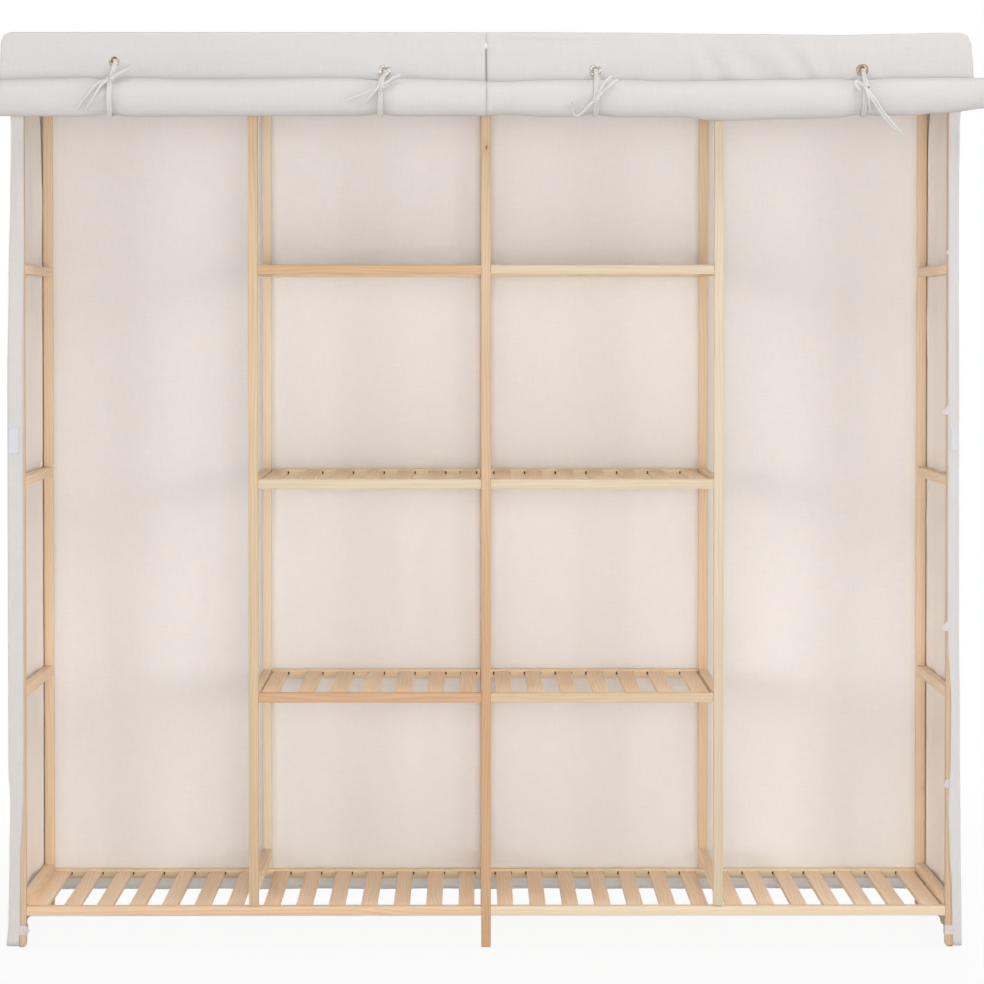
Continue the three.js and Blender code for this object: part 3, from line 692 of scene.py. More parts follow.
# ---------------------------------------------------------------- modelling tools

view_layer = bpy.context.view_layer


def choose(*pieces):
    """Makes these the only selected objects, with the first one active."""
    bpy.ops.object.select_all(action="DESELECT")
    for piece in pieces:
        piece.select_set(True)
    view_layer.objects.active = pieces[0]


def settled(name):
    """Names the object just added and moves its place and size into its mesh."""
    piece = bpy.context.object
    piece.name = name
    piece.data.name = name
    choose(piece)
    bpy.ops.object.transform_apply(location=True, rotation=True, scale=True)
    return piece


def edit(piece, kind="FACE"):
    choose(piece)
    bpy.ops.object.mode_set(mode="EDIT")
    bpy.ops.mesh.select_mode(type=kind)


def done():
    bpy.ops.object.mode_set(mode="OBJECT")


def pick(piece, test, parts="faces"):
    """In edit mode, selects only the faces, edges or points that pass the test."""
    shape = bmesh.from_edit_mesh(piece.data)
    for part in (*shape.verts, *shape.edges, *shape.faces):
        part.select = False
    for part in getattr(shape, parts):
        if test(part):
            part.select_set(True)
    bmesh.update_edit_mesh(piece.data)


def pick_edges(piece, test):
    """In edit mode, selects only the edges whose two points pass the test."""
    pick(piece, lambda edge: all(test(vert.co) for vert in edge.verts), "edges")


def apply_modifier(piece, kind, **settings):
    """Adds a modifier with its settings and applies it."""
    choose(piece)
    made = piece.modifiers.new(kind.lower(), kind)
    for setting, value in settings.items():
        setattr(made, setting, value)
    bpy.ops.object.modifier_apply(modifier=made.name)


def cut(piece, punch, **settings):
    """Cuts a punch out of a piece, and does away with the punch."""
    apply_modifier(piece, "BOOLEAN", object=punch, operation="DIFFERENCE", solver="EXACT", **settings)
    bpy.data.objects.remove(punch, do_unlink=True)


def join(pieces):
    """Joins pieces into the first one."""
    choose(*pieces)
    bpy.ops.object.join()
    return pieces[0]


def block(name, middle, size):
    bpy.ops.mesh.primitive_cube_add(size=1, location=middle)
    bpy.context.object.scale = size
    return settled(name)


# ---------------------------------------------------------------- timber

edge_ease = 0.0014
foot_chamfer = 0.0045
smooth_angle = math.radians(34)


def stick(name, start, end, ease=edge_ease, chamfered_foot=False, rounded_top=0.0):
    """A planed stick between two corners, with all its edges eased, and its upper front edge rounder if asked."""
    piece = block(name, (start + end) / 2, end - start)
    edit(piece, "EDGE")
    if chamfered_foot:
        pick_edges(piece, lambda place: place.z < start.z + ease)
        bpy.ops.mesh.bevel(offset=foot_chamfer, segments=1, affect="EDGES")
    if rounded_top:
        pick_edges(piece, lambda place: place.z > end.z - ease and place.y < start.y + ease)
        bpy.ops.mesh.bevel(offset=rounded_top, segments=4, affect="EDGES")
    bpy.ops.mesh.select_all(action="SELECT")
    bpy.ops.mesh.bevel(offset=ease if not rounded_top else ease / 2, segments=2, affect="EDGES", clamp_overlap=True)
    done()
    bpy.ops.object.shade_smooth_by_angle(angle=smooth_angle)
    return piece


def make_posts():
    for node, tone in post_tones.items():
        outer = "inner" not in node and "centre" not in node
        piece = stick(f"{node}_timber", low(node), high(node), chamfered_foot=outer)
        finish_piece(piece, post_pines[tone], stands_for=[node])


# The top rails lie a little below the cover, which dips between the posts
top_rail_drop = Vector((0, 0, 0.0035))
levels = ("bottom", "low", "middle", "high")


def make_rails():
    for node in ("top_rail_front", "top_rail_back"):
        piece = stick(f"{node}_timber", low(node), high(node) - top_rail_drop)
        finish_piece(piece, rail_pines["plain"], stands_for=[node])
    bars = [f"{kind}_bar_{side}_{level}" for kind in ("side", "inner") for side in sides for level in levels]
    for node in bars + ["centre_bar_bottom", "centre_bar_top"]:
        piece = stick(f"{node}_timber", low(node), high(node))
        finish_piece(piece, bar_pine, stands_for=[node])
    for board in (f"{kind}_rod_board_{side}" for side in sides for kind in ("side", "inner")):
        bpy.data.objects[board].data.materials.clear()
        bpy.data.objects[board].data.materials.append(bar_pine)


rod_end_ease = 0.0016


def make_rods():
    for side in sides:
        node = f"hanging_rod_{side}"
        size = high(node) - low(node)
        bpy.ops.mesh.primitive_cylinder_add(vertices=40, radius=size.z / 2, depth=size.x, location=middle_of(node),
                                            rotation=(0, math.pi / 2, 0))
        piece = settled(f"{node}_timber")
        edit(piece)
        pick(piece, lambda face: len(face.verts) > 4)
        bpy.ops.mesh.bevel(offset=rod_end_ease, segments=3, affect="EDGES")
        done()
        bpy.ops.object.shade_smooth_by_angle(angle=smooth_angle)
        finish_piece(piece, rail_pines["plain"], stands_for=[node])


slat_width = 0.030
slat_pitch = 0.061
slat_thickness = 0.009
slat_drop = 0.0038
slat_ease = 0.001
rail_side = 0.018
rail_round = 0.005
slat_tenon = 0.007
# The tenons' mortises show as small dark nicks beside each slat: wide on the side near the centre, narrow beyond. The
# dark of their cut faces is painted shade
nick_wide = 0.0034
nick_narrow = 0.0018
nick_height = 0.0058
nick_depth = 0.012
nick_below = 0.0010
nick_under_slat = 0.0004
# Slats of the bottom panels lie a little further out beside the hanging bays. The end slats of all panels do too,
# and are wider or narrower there: how far out their far and near edges move, and how many times less on the right
side_bay_from = 0.442
slat_moves = {"bottom_panel_left": -0.008, "bottom_panel_right": 0.003}
end_slat_moves = {"bottom": (0.0135, 0.0085), "shelf": (0.007, 0.007)}
right_far_less, right_near_less = 1.7, 2


def slat_places(node, start, end):
    """The panel's side, and the left and right edge of each of its slats."""
    count = math.floor((end.x - start.x - slat_width) / slat_pitch + 1e-6) + 1
    first = start.x + (end.x - start.x - (count - 1) * slat_pitch - slat_width) / 2
    places = []
    for index in range(count):
        left = first + index * slat_pitch
        if abs(left + slat_width / 2) > side_bay_from:
            left += slat_moves.get(node, 0)
        places.append([left, left + slat_width])
    far, near = end_slat_moves[node.split("_")[0]]
    if "left" in node:
        places[0] = [first - far, first + slat_width - near]
        return -1, places
    last = first + (count - 1) * slat_pitch
    places[-1] = [last + near / right_near_less, last + slat_width + far / right_far_less]
    return 1, places


def make_panel(node):
    """A slatted panel: two rails, and slats let into their inner faces."""
    start, end = low(node), high(node)
    front = stick(f"{node}_front_rail", start, Vector((end.x, start.y + rail_side, end.z)), rounded_top=rail_round)
    back = stick(f"{node}_back_rail", Vector((start.x, end.y - rail_side, start.z)), end)
    side, places = slat_places(node, start, end)
    top = end.z - slat_drop
    reach = rail_side - slat_tenon
    slats, nicks = [], []
    for number, (left, right) in enumerate(places, 1):
        slats.append(stick(f"{node}_slat_{number}", Vector((left, start.y + reach, top - slat_thickness)),
                           Vector((right, end.y - reach, top)), ease=slat_ease))
        near, far = (right, left) if side < 0 else (left, right)
        for edge, wide, way in ((near, nick_wide, -side), (far, nick_narrow, side)):
            middle = (edge + way * (wide / 2 - nick_under_slat), end.y - rail_side, top - nick_height / 2 - nick_below)
            nicks.append(block("nick", middle, (wide, nick_depth * 2, nick_height)))
    finish_piece(back, back_rail_painted_light)
    punch = join(nicks)
    # The punch's dark wood goes onto the cut faces: painted shade
    punch.data.materials.append(mortise_painted_shade)
    cut(back, punch, material_mode="TRANSFER")
    finish_piece(front, rail_pines[rail_tones.get(node, "cream")], stands_for=[node])
    slatting = join(slats)
    finish_piece(slatting, slat_pine)


def make_panels():
    for side in sides:
        for panel in ("bottom_panel_{}", "shelf_{}_low", "shelf_{}_middle", "shelf_{}_high"):
            make_panel(panel.format(side))


make_posts()
make_rails()
make_rods()
make_panels()

# ---------------------------------------------------------------- cloth

cloth_thickness = 0.0010


def spread(start, end, count):
    return [start + (end - start) * index / count for index in range(count + 1)]


def smooth(value, start, end):
    share = min(1.0, max(0.0, (value - start) / (end - start)))
    return share * share * (3 - 2 * share)


def hump(away, wide):
    """1 in the middle, falling to nothing some widths away."""
    return math.exp(-(away / wide) ** 2)


def ripple(x, y, seed):
    return noise.noise(Vector((x, y, seed)))


def ripples(x, y, *waves):
    """Uneven ripples: for each wave, how fast it runs across and along, its seed and its depth."""
    return sum(ripple(x * wide, y * tall, seed) * depth for wide, tall, seed, depth in waves)


def cloth(name, surface, across, along, lift=0.0, thickness=cloth_thickness):
    """A sheet of cloth over a surface(across, along), raised off it by a lift, with a real thickness."""
    grid = np.array([[tuple(surface(u, v)) for u in across] for v in along])
    normals = np.cross(np.gradient(grid, axis=1), np.gradient(grid, axis=0))
    normals /= np.linalg.norm(normals, axis=2, keepdims=True)
    grid = grid + normals * lift
    rows, columns = len(along), len(across)
    wide, long = (
        np.concatenate([[0], np.cumsum(np.linalg.norm(np.diff(line, axis=0), axis=1))])
        for line in (grid[rows // 2], grid[:, columns // 2])
    )
    faces, runs = [], []
    for row in range(rows - 1):
        for column in range(columns - 1):
            corners = [(row, column), (row, column + 1), (row + 1, column + 1), (row + 1, column)]
            faces.append(tuple(r * columns + c for r, c in corners))
            runs += [(wide[c], long[r]) for r, c in corners]
    piece = mesh_piece(name, grid.reshape(-1, 3), faces, runs)
    apply_modifier(piece, "SOLIDIFY", thickness=thickness, offset=0.0)
    piece.data.shade_smooth()
    return piece


# How far out the side cloth hangs at some heights: the cover holds it out, the posts and ties draw it in
side_reaches = {
    -1: [(0.0, 0.8945), (0.05, 0.8905), (0.16, 0.8885), (0.27, 0.8868), (0.34, 0.8900), (0.60, 0.8900),
         (1.05, 0.8897), (1.25, 0.8865), (1.40, 0.8830), (1.52, 0.8812), (1.60, 0.8850), (1.68, 0.8965)],
    1: [(0.0, 0.8885), (0.05, 0.8878), (0.20, 0.8855), (0.40, 0.8838), (0.60, 0.8815), (1.05, 0.8804),
        (1.25, 0.8790), (1.40, 0.8788), (1.52, 0.8796), (1.60, 0.8850), (1.68, 0.8965)],
}
flap_edges = {
    -1: [(0.0, 0.8705), (0.05, 0.8680), (0.16, 0.8675), (0.24, 0.8635), (0.30, 0.8608), (0.60, 0.8603),
         (1.10, 0.8600), (1.22, 0.8585), (1.30, 0.8568), (1.68, 0.8565)],
    1: [(0.0, 0.8715), (0.05, 0.8695), (0.108, 0.8685), (0.182, 0.8642), (0.262, 0.8612), (0.305, 0.8625),
        (0.34, 0.8655), (0.462, 0.8658), (0.573, 0.8600), (0.63, 0.8590), (1.10, 0.8590), (1.40, 0.8585),
        (1.68, 0.8590)],
}
# The side cloths draw in close to the back posts, below a height
back_corner_reach = 0.8806
back_corner_share = 0.45
back_corner_from = 1.42


def at_height(table, z):
    """The smooth value of a table of (height, value) rows."""
    for (lower, first), (upper, second) in zip(table, table[1:]):
        if z <= upper:
            return first + (second - first) * smooth(z, lower, upper)
    return table[-1][1]


back_inner = high("back_post_left").y + 0.003
corner_gap = 0.0003
bend_radius = 0.005
flap_y = low("front_post_left").y - 0.0011
side_hem = low("side_cloth_left").z
side_top = high("side_cloth_left").z
# The side cloths' upright folds, which grow shallow towards the top, and the ridge beside each back post, which
# the crossbars and rod boards press flat
side_fold_pitch = 0.170
side_fold_depth = 0.004
side_fold_sway = 0.8
shallow_from, shallow_to = 1.35, 1.66
post_fold_way = 0.052
post_fold_wide = 0.016
post_fold_wander = 0.012
post_fold_depth = 0.0055
bar_heights = [middle_of(f"side_bar_left_{level}").z for level in levels] + [high("side_rod_board_left").z]
bar_reach = 0.09
# The cloth stays this far out: at the bars, and how much less between them
side_least = 0.8762
side_least_drop = 0.0065
flap_wave = 0.0007


def corner_reach(side, z):
    """How far out the back corner of the cover hangs at a height."""
    drawn = 1 - smooth(z, back_corner_from, side_top)
    return at_height(side_reaches[side], z) * (1 - drawn) + back_corner_reach * drawn


def side_surface(side):
    """The side cloth: 0 to 1 from the back corner forward, 1 to 2 round the bend, 2 to 3 over the front post."""
    corner_y = back_inner - corner_gap
    run_length_y = corner_y - (flap_y + bend_radius)

    def place(share, z):
        forward = smooth(share, 0, back_corner_share)
        out = at_height(side_reaches[side], z) * forward + corner_reach(side, z) * (1 - forward)
        out -= cloth_thickness / 2
        if share <= 1:
            way = share * run_length_y
            middle = math.sin(math.pi * share)
            fold = middle * math.sin(2 * math.pi * way / side_fold_pitch + side_fold_sway * math.sin(z * 2.1))
            shallow = 1 - smooth(z, shallow_from, shallow_to)
            small = ripples(way, z, (14, 5, side * 3.7, 0.0022), (42, 16, side * 9.1, 0.0007))
            off_bar = min(1.0, min(abs(z - bar_z) for bar_z in bar_heights) / bar_reach)
            ridge_way = post_fold_way + post_fold_wander * ripple(z * 4, 0.0, side * 8.8)
            ridge = post_fold_depth * hump(way - ridge_way, post_fold_wide) * off_bar
            ridge *= 0.55 + 0.9 * ripple(z * 5.5, 1.0, side * 2.2)
            inward = side_fold_depth * (fold + 0.6) * shallow + small * middle + ridge
            out = max(out - max(inward, -0.001), side_least - side_least_drop * off_bar * min(1.0, middle * 3))
            return Vector((side * out, corner_y - way, z))
        angle = min(1.0, share - 1) * math.pi / 2
        x = out - bend_radius * (1 - math.cos(angle))
        y = flap_y + bend_radius * (1 - math.sin(angle))
        if share > 2:
            edge = at_height(flap_edges[side], z)
            x += (edge - x) * (share - 2)
            y -= flap_wave * (0.5 + ripple(x * 60, z * 7, side * 5.3)) * math.sin(math.pi * min(1, share - 2))
        return Vector((side * x, y, z))

    return place


def make_side_cloths():
    heights = spread(side_hem, side_top, 150)
    run_columns = spread(0, 1, 64) + spread(1, 2, 6)[1:] + spread(2, 3, 8)[1:]
    for side_name, side in sides.items():
        node = f"side_cloth_{side_name}"
        piece = cloth(f"{node}_sheet", side_surface(side), run_columns, heights)
        finish_piece(piece, cover_cloth, stands_for=[node])
        # The front flaps take the darker front cloth: painted shade
        trim(piece, curtain_cloth, lambda middle: middle.y < flap_y + bend_radius / 2)


back_hem = low("back_cloth").z - 0.008
back_hem_height = 0.026
back_top = high("back_cloth").z
back_over_sides = 0.0002
back_fold_pitch = 0.216
back_fold_depth = 0.0072
back_fold_top_share = 0.25
back_fold_sway = 0.35
back_calm_edge = 0.06


def back_surface(share, z):
    """The back cloth, -1 to 1 across: soft upright folds that deepen towards its hem."""
    side = -1 if share < 0 else 1
    reach = corner_reach(side, z) + back_over_sides
    x = share * reach
    height_share = (z - back_hem) / (back_top - back_hem)
    sway = back_fold_sway * math.sin(2 * math.pi * height_share)
    fold = 0.5 - 0.5 * math.cos(2 * math.pi * x / back_fold_pitch + sway)
    depth = 1 + (back_fold_top_share - 1) * height_share ** 2
    calm = min(1, (reach - abs(x)) / back_calm_edge) * min(1, (1 - height_share) * 6 + 0.1)
    small = ripples(x, z, (7, 3, 1.3, 0.002), (21, 9, 4.4, 0.0008))
    return Vector((x, back_inner + cloth_thickness / 2 + (back_fold_depth * depth * fold + small) * calm, z))


def make_back_cloth():
    piece = cloth("back_cloth_sheet", back_surface, spread(-1, 1, 260), spread(back_hem, back_top, 170))
    finish_piece(piece, back_cloth_painted_light, stands_for=["back_cloth"])
    # The hem's whiter cloth: painted light
    trim(piece, hem_tape_painted_light, lambda middle: middle.z < back_hem + back_hem_height)


# The cover's top: a shallow tray of cloth over the frame
cover_low = low("cover_top")
cover_high = high("cover_top")
cover_round = 0.007
cover_grid = 0.014
skirt_lap = 0.007
cover_round_steps = [(0.55, 0.14), (0.86, 0.5), (1.0, 1.0)]
skirt_steps = (0.5, 0.75, 1.0)
# It sags between the posts, and its corners and edges give a little
post_lines = (-0.866, -0.433, 0.0, 0.433, 0.866)
half_bay = 0.2165
sag_deep = 0.0065
sag_ripple = 0.0016
sag_edge = 0.01
sag_ease = 0.16
top_corner_from = 0.858
top_corner_wide = 0.04
top_corner_sag = 0.0075
front_rise_ease = 0.12
front_rise_more = 0.0004
skirt_wave = 0.0008
edge_rise_wave = 0.0007
skirt_near = 0.004
# Where the photograph shows the cover's upper front edge: across and height
cover_edge = [(-0.90, 1.7022), (0.06, 1.7022), (0.24, 1.7013), (0.46, 1.6990), (0.66, 1.6970), (0.76, 1.6993),
              (0.84, 1.7010), (0.90, 1.7010)]
cover_corner_from = 0.874
cover_corner_drop = 0.0068
cover_corner_wide = 0.020


def top_edge(x):
    """The height of the cover's upper front edge, with its rounded corners."""
    corner = max(0.0, (abs(x) - cover_corner_from) / cover_corner_wide)
    return at_height(cover_edge, x) - cover_corner_drop * corner * corner


def make_cover_top():
    middle = middle_of("cover_top")
    wide = cover_high.x - cover_low.x - 2 * cover_round
    deep = cover_high.y - cover_low.y - 2 * cover_round
    bpy.ops.mesh.primitive_grid_add(x_subdivisions=round(wide / cover_grid), y_subdivisions=round(deep / cover_grid),
                                    size=1, location=(middle.x, middle.y, cover_high.z - cloth_thickness))
    bpy.context.object.scale = (wide, deep, 1)
    piece = settled("cover_top_sheet")
    edit(piece, "EDGE")
    skirt = cover_high.z - cloth_thickness - cover_low.z
    turns = [(down * cover_round, out * cover_round) for out, down in cover_round_steps]
    turns += [(cover_round + (skirt + skirt_lap - cover_round) * share, cover_round) for share in skirt_steps]
    done_drop, done_out = 0.0, 0.0
    for drop, out in turns:
        edge_z = cover_high.z - cloth_thickness - done_drop
        pick(piece, lambda edge: edge.is_boundary and all(abs(v.co.z - edge_z) < 1e-5 for v in edge.verts), "edges")
        bpy.ops.mesh.extrude_region_move(TRANSFORM_OT_translate={"value": (0, 0, done_drop - drop)})
        scale_x = (wide / 2 + out) / (wide / 2 + done_out)
        scale_y = (deep / 2 + out) / (deep / 2 + done_out)
        shape = bmesh.from_edit_mesh(piece.data)
        for vert in shape.verts:
            if vert.select:
                vert.co.x = middle.x + (vert.co.x - middle.x) * scale_x
                vert.co.y = middle.y + (vert.co.y - middle.y) * scale_y
        bmesh.update_edit_mesh(piece.data)
        done_drop, done_out = drop, out
    done()
    apply_modifier(piece, "SUBSURF", levels=1, render_levels=1)
    for vert in piece.data.vertices:
        x, y, z = vert.co
        top = smooth(z, cover_low.z + 0.010, cover_high.z - cover_round * 0.6)
        between = min(1.0, min(abs(x - line) for line in post_lines) / half_bay)
        inside = smooth(y, cover_low.y + sag_edge, cover_low.y + sag_ease)
        inside *= 1 - smooth(y, cover_high.y - sag_ease, cover_high.y - sag_edge)
        sag = sag_deep * inside * (0.55 + 0.45 * between) + sag_ripple * inside * (ripple(x * 9, y * 9, 2.2) + 1)
        corner = max(0.0, (abs(x) - top_corner_from) / top_corner_wide)
        sag += top_corner_sag * corner * corner
        front = 1 - smooth(y, cover_low.y + sag_edge, cover_low.y + front_rise_ease)
        rise = (at_height(cover_edge, x) - cover_high.z + front_rise_more) * front
        vert.co.z = z + top * (rise - sag) + edge_rise_wave * ripple(x * 6, 0.0, 7.7) * (1 - inside)
        outward = skirt_wave * ripple(x * 8 + y * 8, z * 30, 5.1) * (1 - top)
        if abs(y - cover_low.y) < skirt_near or abs(y - cover_high.y) < skirt_near:
            vert.co.y += outward * (-1 if y < middle.y else 1)
        elif abs(abs(x) - cover_high.x) < skirt_near:
            vert.co.x += outward * (-1 if x < 0 else 1)
    piece.data.update()
    apply_modifier(piece, "SOLIDIFY", thickness=cloth_thickness, offset=-1.0)
    box_runs(piece)
    piece.data.shade_smooth()
    finish_piece(piece, cover_cloth, stands_for=["cover_top"])


def box_runs(piece):
    """Lays the weave straight on a boxy cloth: each face takes the two directions that it faces least."""
    mesh = piece.data
    for old in list(mesh.uv_layers):
        mesh.uv_layers.remove(old)
    layer = mesh.uv_layers.new(name="run")
    for face in mesh.polygons:
        sizes = [abs(part) for part in face.normal]
        axis = sizes.index(max(sizes))
        one, two = [(1, 2), (0, 2), (0, 1)][axis]
        for corner in face.loop_indices:
            place = mesh.vertices[mesh.loops[corner].vertex_index].co
            layer.data[corner].uv = (place[one], place[two])


# ---------------------------------------------------------------- curtains

slit_half = 0.0007
roll_gap_half = 0.00015
roll_outer_end = high("curtain_roll_right").x
band_top = high("curtain_band_left").z
band_bottom = low("curtain_band_left").z
band_reaches = {
    -1: [(band_bottom, 0.9030), (band_top, 0.8980)],
    1: [(band_bottom, 0.9065), (1.64, 0.9025), (band_top, 0.8990)],
}
band_rows_start = 1.618
band_rows_end = 1.590
band_sewn_height = 1.6925
band_lap = (1.6800, 1.6840)
band_lap_depth = 0.0009
band_lap_across = (0.03, 0.05, 0.18, 0.25)
band_lap_end = 0.004
slit_closed = (1.676, 1.684)
slit_turn = 0.0045
slit_turn_depth = 0.004
sewn_turn = 0.0035
sewn_draw = 0.006
sewn_behind = 0.001
# The band stands off the cover's skirt between two heights
skirt_off = 0.0026
skirt_off_from, skirt_off_to = 1.622, 1.674
# Slanting folds where the right curtain is drawn together
fold_across = (0.34, 0.42, 0.60, 0.68)
fold_pitch = 0.074
fold_depth = 0.0021
fold_middle = 1.64
# Creases fan out round each eyelet, and the cloth lies flat right at it
crease_depth = 0.0011
crease_reach = 0.045
crease_count = 7
crease_above_share = 0.3
flat_reach = 0.016


def eyelets_of(side_name):
    """The eyelets of one curtain: their names and middles."""
    return {name: middle_of(f"eyelet_{name}") for name in tie_routes if name.endswith(side_name)}


def within(value, rise_from, rise_to, fall_from, fall_to):
    """1 between the middle two values, smooth to 0 at the outer two."""
    return smooth(value, rise_from, rise_to) * (1 - smooth(value, fall_from, fall_to))


def band_surface(side, holes):
    """The upper part of a curtain: the share of the way out from its slit, and height."""

    def place(share, z):
        reach = at_height(band_reaches[side], min(z, band_top)) - sewn_draw * smooth(z, band_top, band_sewn_height)
        slit = slit_half * (1 - smooth(z, *slit_closed))
        x = side * (slit + (reach - slit) * share)
        free = within(z, band_bottom, band_bottom + 0.03, band_top - 0.03, band_sewn_height)
        lap = band_lap_depth * within(x, *band_lap_across)
        lap *= within(z, *band_lap, band_sewn_height - band_lap_end, band_sewn_height)
        wave = ripples(x, z, (7, 9, side * 2.9, 0.0012), (24, 20, side * 6.3, 0.0004))
        for hole in holes:
            dx, dz = x - hole.x, z - hole.z
            fan = math.atan2(dx, -dz + 0.004)
            crease = crease_depth * hump(math.hypot(dx, dz), crease_reach) * math.cos(fan * crease_count)
            wave += crease * (1 if dz < 0 else crease_above_share)
            wave *= 1 - hump(math.hypot(dx, dz), flat_reach)
        slant = x + 0.8 * (z - fold_middle) + 0.012 * math.sin(x * 31)
        wave += fold_depth * within(x, *fold_across) * math.sin(2 * math.pi * slant / fold_pitch)
        turned = slit_turn_depth * hump(x, slit_turn) * (1 - smooth(z, *slit_closed))
        sewn = smooth(z, band_sewn_height - sewn_turn, band_sewn_height)
        turned += (cover_low.y + sewn_behind - curtain_middle) * sewn ** 2
        turned -= skirt_off * smooth(z, skirt_off_from, skirt_off_to) * (1 - sewn ** 2)
        rise = (top_edge(x) - band_sewn_height) * smooth(z, band_top - 0.02, band_sewn_height)
        return Vector((x, curtain_middle - wave * free - lap + turned, z + rise))

    return place


def make_band(side, side_name):
    node = f"curtain_band_{side_name}"
    rows = spread(band_bottom, band_rows_end, 4) + spread(band_rows_end, band_rows_start, 14)[1:]
    rows += spread(band_rows_start, band_lap[0], 12)[1:] + spread(band_lap[0], band_sewn_height, 16)[1:]
    holes = eyelets_of(side_name).values()
    piece = cloth(f"{node}_sheet", band_surface(side, holes), spread(0, 1, 220), rows)
    for hole in holes:
        cut_hole(piece, hole)
    finish_piece(piece, curtain_cloth, body=None, stands_for=[node])
    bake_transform(piece)


eyelet_cut_radius = 0.0066


def cut_hole(piece, place):
    """Cuts the round hole that an eyelet grips."""
    bpy.ops.mesh.primitive_cylinder_add(vertices=32, radius=eyelet_cut_radius, depth=0.02, location=place,
                                        rotation=(math.pi / 2, 0, 0))
    cut(piece, settled("punch"))


roll_steps = 18
roll_power = 2.8
roll_spans = 150
# The turns' ends don't lie quite flush: at the outer end and at the slit
outer_uneven = 0.004
slit_uneven = 0.003
# How far the ties' squeeze, their dents and the puckers beside them reach along a roll, and how deep they are
tied_wide = 0.028
dent_wide = 0.012
dent_depth = 0.0010
pucker_wide = 0.045
pucker_depth = 0.0010
# Where the photograph shows the rolls' upper and lower edges: across, top and bottom height
roll_edges = [
    (-0.940, 1.6126, 1.5450), (-0.790, 1.6163, 1.5441), (-0.715, 1.6182, 1.5432), (-0.640, 1.6173, 1.5437),
    (-0.550, 1.6145, 1.5443), (-0.290, 1.6171, 1.5448), (-0.160, 1.6163, 1.5440), (-0.060, 1.6137, 1.5450),
    (0.0, 1.6112, 1.5458), (0.030, 1.6102, 1.5477), (0.132, 1.6133, 1.5432), (0.208, 1.6137, 1.5430),
    (0.340, 1.6113, 1.5440), (0.437, 1.6126, 1.5363), (0.540, 1.6148, 1.5390), (0.670, 1.6159, 1.5423),
    (0.770, 1.6169, 1.5464), (0.843, 1.6176, 1.5515), (0.940, 1.6184, 1.5612),
]


def roll_edge(x):
    """The smooth top and bottom heights of the rolls at a place across."""
    for (start, top, bottom), (end, next_top, next_bottom) in zip(roll_edges, roll_edges[1:]):
        if x <= end:
            share = smooth(x, start, end)
            return top + (next_top - top) * share, bottom + (next_bottom - bottom) * share
    return roll_edges[-1][1:]


def roll_surface(side, side_name):
    """A rolled curtain: turns of its spiral, and the share of the way from the slit to the outer end."""
    knots = [hole.x + tie_routes[name]["knot"][0] for name, hole in eyelets_of(side_name).items()]

    def place(turns, share):
        inner = smooth(turns, 0.4, 2.0)
        end = roll_outer_end - outer_uneven * (0.5 + 0.5 * math.sin(turns * 2.3 + side)) * inner
        start = roll_gap_half + slit_uneven * (0.5 + 0.5 * math.sin(turns * 1.9 + side * 2)) * inner
        x = side * (start + (end - start) * share)
        top, bottom = roll_edge(x)
        tied = max(hump(x - knot_x, tied_wide) for knot_x in knots)
        full = ((top - bottom) / 2) * (1 - tied) + roll_radius * tied
        axis_z = ((top + bottom) / 2) * (1 - tied) + roll_axis_z * tied
        angle = 2 * math.pi * turns
        front = 0.5 - 0.5 * math.cos(angle)
        round_x, round_y = math.cos(angle), math.sin(angle)
        bulge = 0.0012 * ripple(x * 5, round_x * 1.1, round_y * 1.1 + side * 4)
        bulge += 0.0007 * ripple(x * 17, round_x * 2.3, round_y * 2.3 + side * 7)
        bulge += 0.0006 * math.sin(x * 22 + angle * side * 0.5) * ripple(x * 8, 0.0, side * 11.0)
        for knot_x in knots:
            gap = x - knot_x
            bulge -= dent_depth * hump(gap, dent_wide)
            bulge += pucker_depth * hump(gap, pucker_wide) * math.cos(angle * 8 + gap * 60)
        if side > 0:
            edge = 0.339 - 0.020 * (1 - round_y) - 0.012 * math.sin(angle * 2)
            bulge += 0.0016 * within(x, 0.12, 0.18, edge - 0.004, edge + 0.001) * (turns < 1)
        squarish = (abs(round_x) ** roll_power + abs(round_y) ** roll_power) ** (-1 / roll_power)
        full_here = full * (1 + (squarish - 1) * (1 - tied))
        radius = full_here - turn_pitch * turns * full / roll_radius - cloth_thickness / 2
        radius *= 1 + bulge * front / roll_radius
        deep = min(full, roll_radius)
        return Vector((x, curtain_back - deep + radius * round_x * deep / full, axis_z - radius * round_y))

    return place


def make_roll(side, side_name):
    node = f"curtain_roll_{side_name}"
    turns = spread(0, roll_turns, roll_turns * roll_steps)
    piece = cloth(f"{node}_sheet", roll_surface(side, side_name), turns, spread(0, 1, roll_spans))
    finish_piece(piece, curtain_cloth, body=f"rolled_curtain_{side_name}", stands_for=[node])
    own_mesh(piece)


# ---------------------------------------------------------------- eyelets, tapes and patches

ring_radius = 0.0086
ring_wire = 0.0029
ring_flat = 0.42
barrel_radius = 0.0061


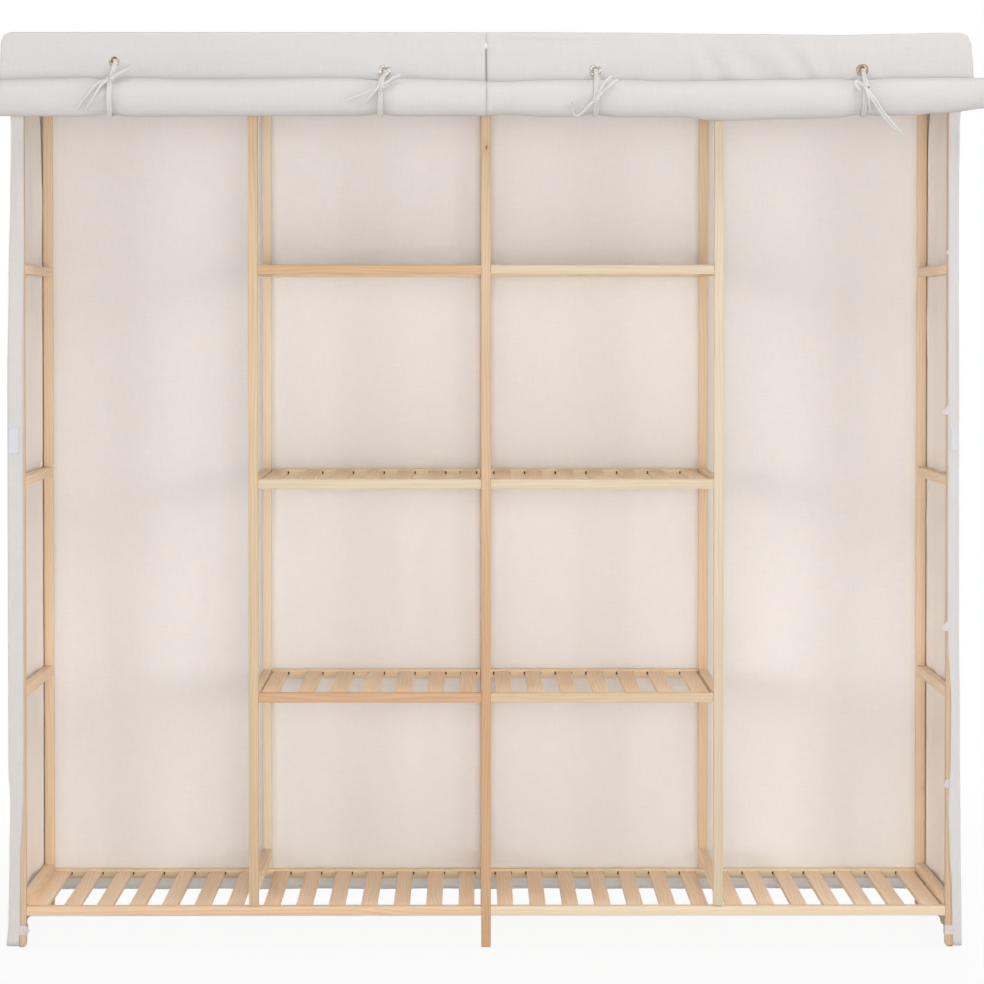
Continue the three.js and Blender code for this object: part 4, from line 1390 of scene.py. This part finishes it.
def make_eyelet(name):
    """A pressed eyelet: a domed ring on each face of the cloth and the barrel between them."""
    node = f"eyelet_{name}"
    middle = middle_of(node)
    rings = []
    for face in (-1, 1):
        bpy.ops.mesh.primitive_torus_add(major_segments=48, minor_segments=14, major_radius=ring_radius,
                                         minor_radius=ring_wire, rotation=(math.pi / 2, 0, 0))
        ring = settled(f"{node}_ring")
        edit(ring, "VERT")
        bpy.ops.mesh.select_all(action="SELECT")
        bpy.ops.transform.resize(value=(1, ring_flat, 1))
        pick(ring, lambda vert: vert.co.y * face < 0, "verts")
        bpy.ops.transform.resize(value=(1, 0.25, 1), center_override=(0, 0, 0))
        done()
        ring.data.transform(Matrix.Translation(middle + Vector((0, face * 0.0009, 0))))
        rings.append(ring)
    bpy.ops.mesh.primitive_cylinder_add(vertices=48, radius=barrel_radius, depth=0.0032, end_fill_type="NOTHING",
                                        location=middle, rotation=(math.pi / 2, 0, 0))
    barrel = settled(f"{node}_barrel")
    apply_modifier(barrel, "SOLIDIFY", thickness=0.0005, offset=1.0)
    piece = join(rings + [barrel])
    piece.name = f"{node}_pressing"
    choose(piece)
    bpy.ops.object.shade_smooth_by_angle(angle=math.radians(60))
    finish_piece(piece, eyelet_finishes[name], stands_for=[node])


patch_thickness = 0.0012
patch_run = (1.80, 2.66)
patch_heights = {-1: (0.9205, 0.9720), 1: (0.9270, 0.9740)}


def make_patches():
    """Hook-and-loop patches sewn on the front flaps."""
    for side_name, side in sides.items():
        piece = cloth(f"flap_patch_{side_name}", side_surface(side), spread(*patch_run, 12),
                      spread(*patch_heights[side], 18), lift=patch_thickness * -side, thickness=patch_thickness)
        finish_piece(piece, hook_pile)


tape_height = 0.017
foot_tape_low = 0.024
# Tapes tied round the right front post: middle height, height, and how far the loose end sticks out
post_tapes = [(1.296, 0.009, 0.003), (1.0017, 0.018, 0.0095), (0.5996, 0.018, 0.0105), (0.3054, 0.016, 0.005)]
tape_clearance = 0.0006


def make_tape_end(name, node, edge, height, middle, reach, droop):
    """The loose end of a tape: it tapers to a blunt point beside the post."""
    side = 1 if edge > 0 else -1
    front = low(node).y - tape_clearance - 0.0016

    def place(share, rise):
        tall = height * (1 - 0.72 * share ** 1.3)
        return Vector((edge + side * (0.004 - (reach + 0.004) * share), front + 0.004 * share ** 2,
                       middle + (rise - 0.5) * tall - droop * height * share))

    piece = cloth(name, place, spread(0, 1, 10), spread(0, 1, 8), thickness=0.0011)
    finish_piece(piece, white_tape)


def tape_round(name, node, bottom, height):
    """A tape wrapped once round a post."""
    middle, size = middle_of(node), high(node) - low(node)
    piece = block(name, (middle.x, middle.y, bottom + height / 2),
                  (size.x + 2 * tape_clearance, size.y + 2 * tape_clearance, height))
    edit(piece)
    pick(piece, lambda face: abs(face.normal.z) > 0.9)
    bpy.ops.mesh.delete(type="FACE")
    bpy.ops.mesh.select_mode(type="EDGE")
    pick(piece, lambda edge: abs(edge.verts[0].co.z - edge.verts[1].co.z) > height / 2, "edges")
    bpy.ops.mesh.bevel(offset=0.002, segments=4, affect="EDGES")
    bpy.ops.mesh.select_all(action="SELECT")
    done()
    apply_modifier(piece, "SOLIDIFY", thickness=0.0009, offset=1.0)
    box_runs(piece)
    choose(piece)
    bpy.ops.object.shade_smooth_by_angle(angle=math.radians(50))
    finish_piece(piece, white_tape)


def make_tapes():
    for side_name in ("left", "right"):
        tape_round(f"foot_tape_{side_name}", f"front_post_{side_name}", foot_tape_low, tape_height)
    make_tape_end("foot_tape_end_left", "front_post_left", high("front_post_left").x, tape_height * 0.7,
                  foot_tape_low + tape_height * 0.45, 0.006, 0.0)
    for number, (middle, height, reach) in enumerate(post_tapes, 1):
        tape_round(f"post_tape_right_{number}", "front_post_right", middle - height / 2, height)
        make_tape_end(f"post_tape_end_right_{number}", "front_post_right", low("front_post_right").x, height,
                      middle, reach, 0.22)


make_side_cloths()
make_back_cloth()
make_cover_top()
for curtain_name, curtain_side in sides.items():
    make_band(curtain_side, curtain_name)
    make_roll(curtain_side, curtain_name)
for eyelet_name in tie_routes:
    make_eyelet(eyelet_name)
make_patches()
make_tapes()
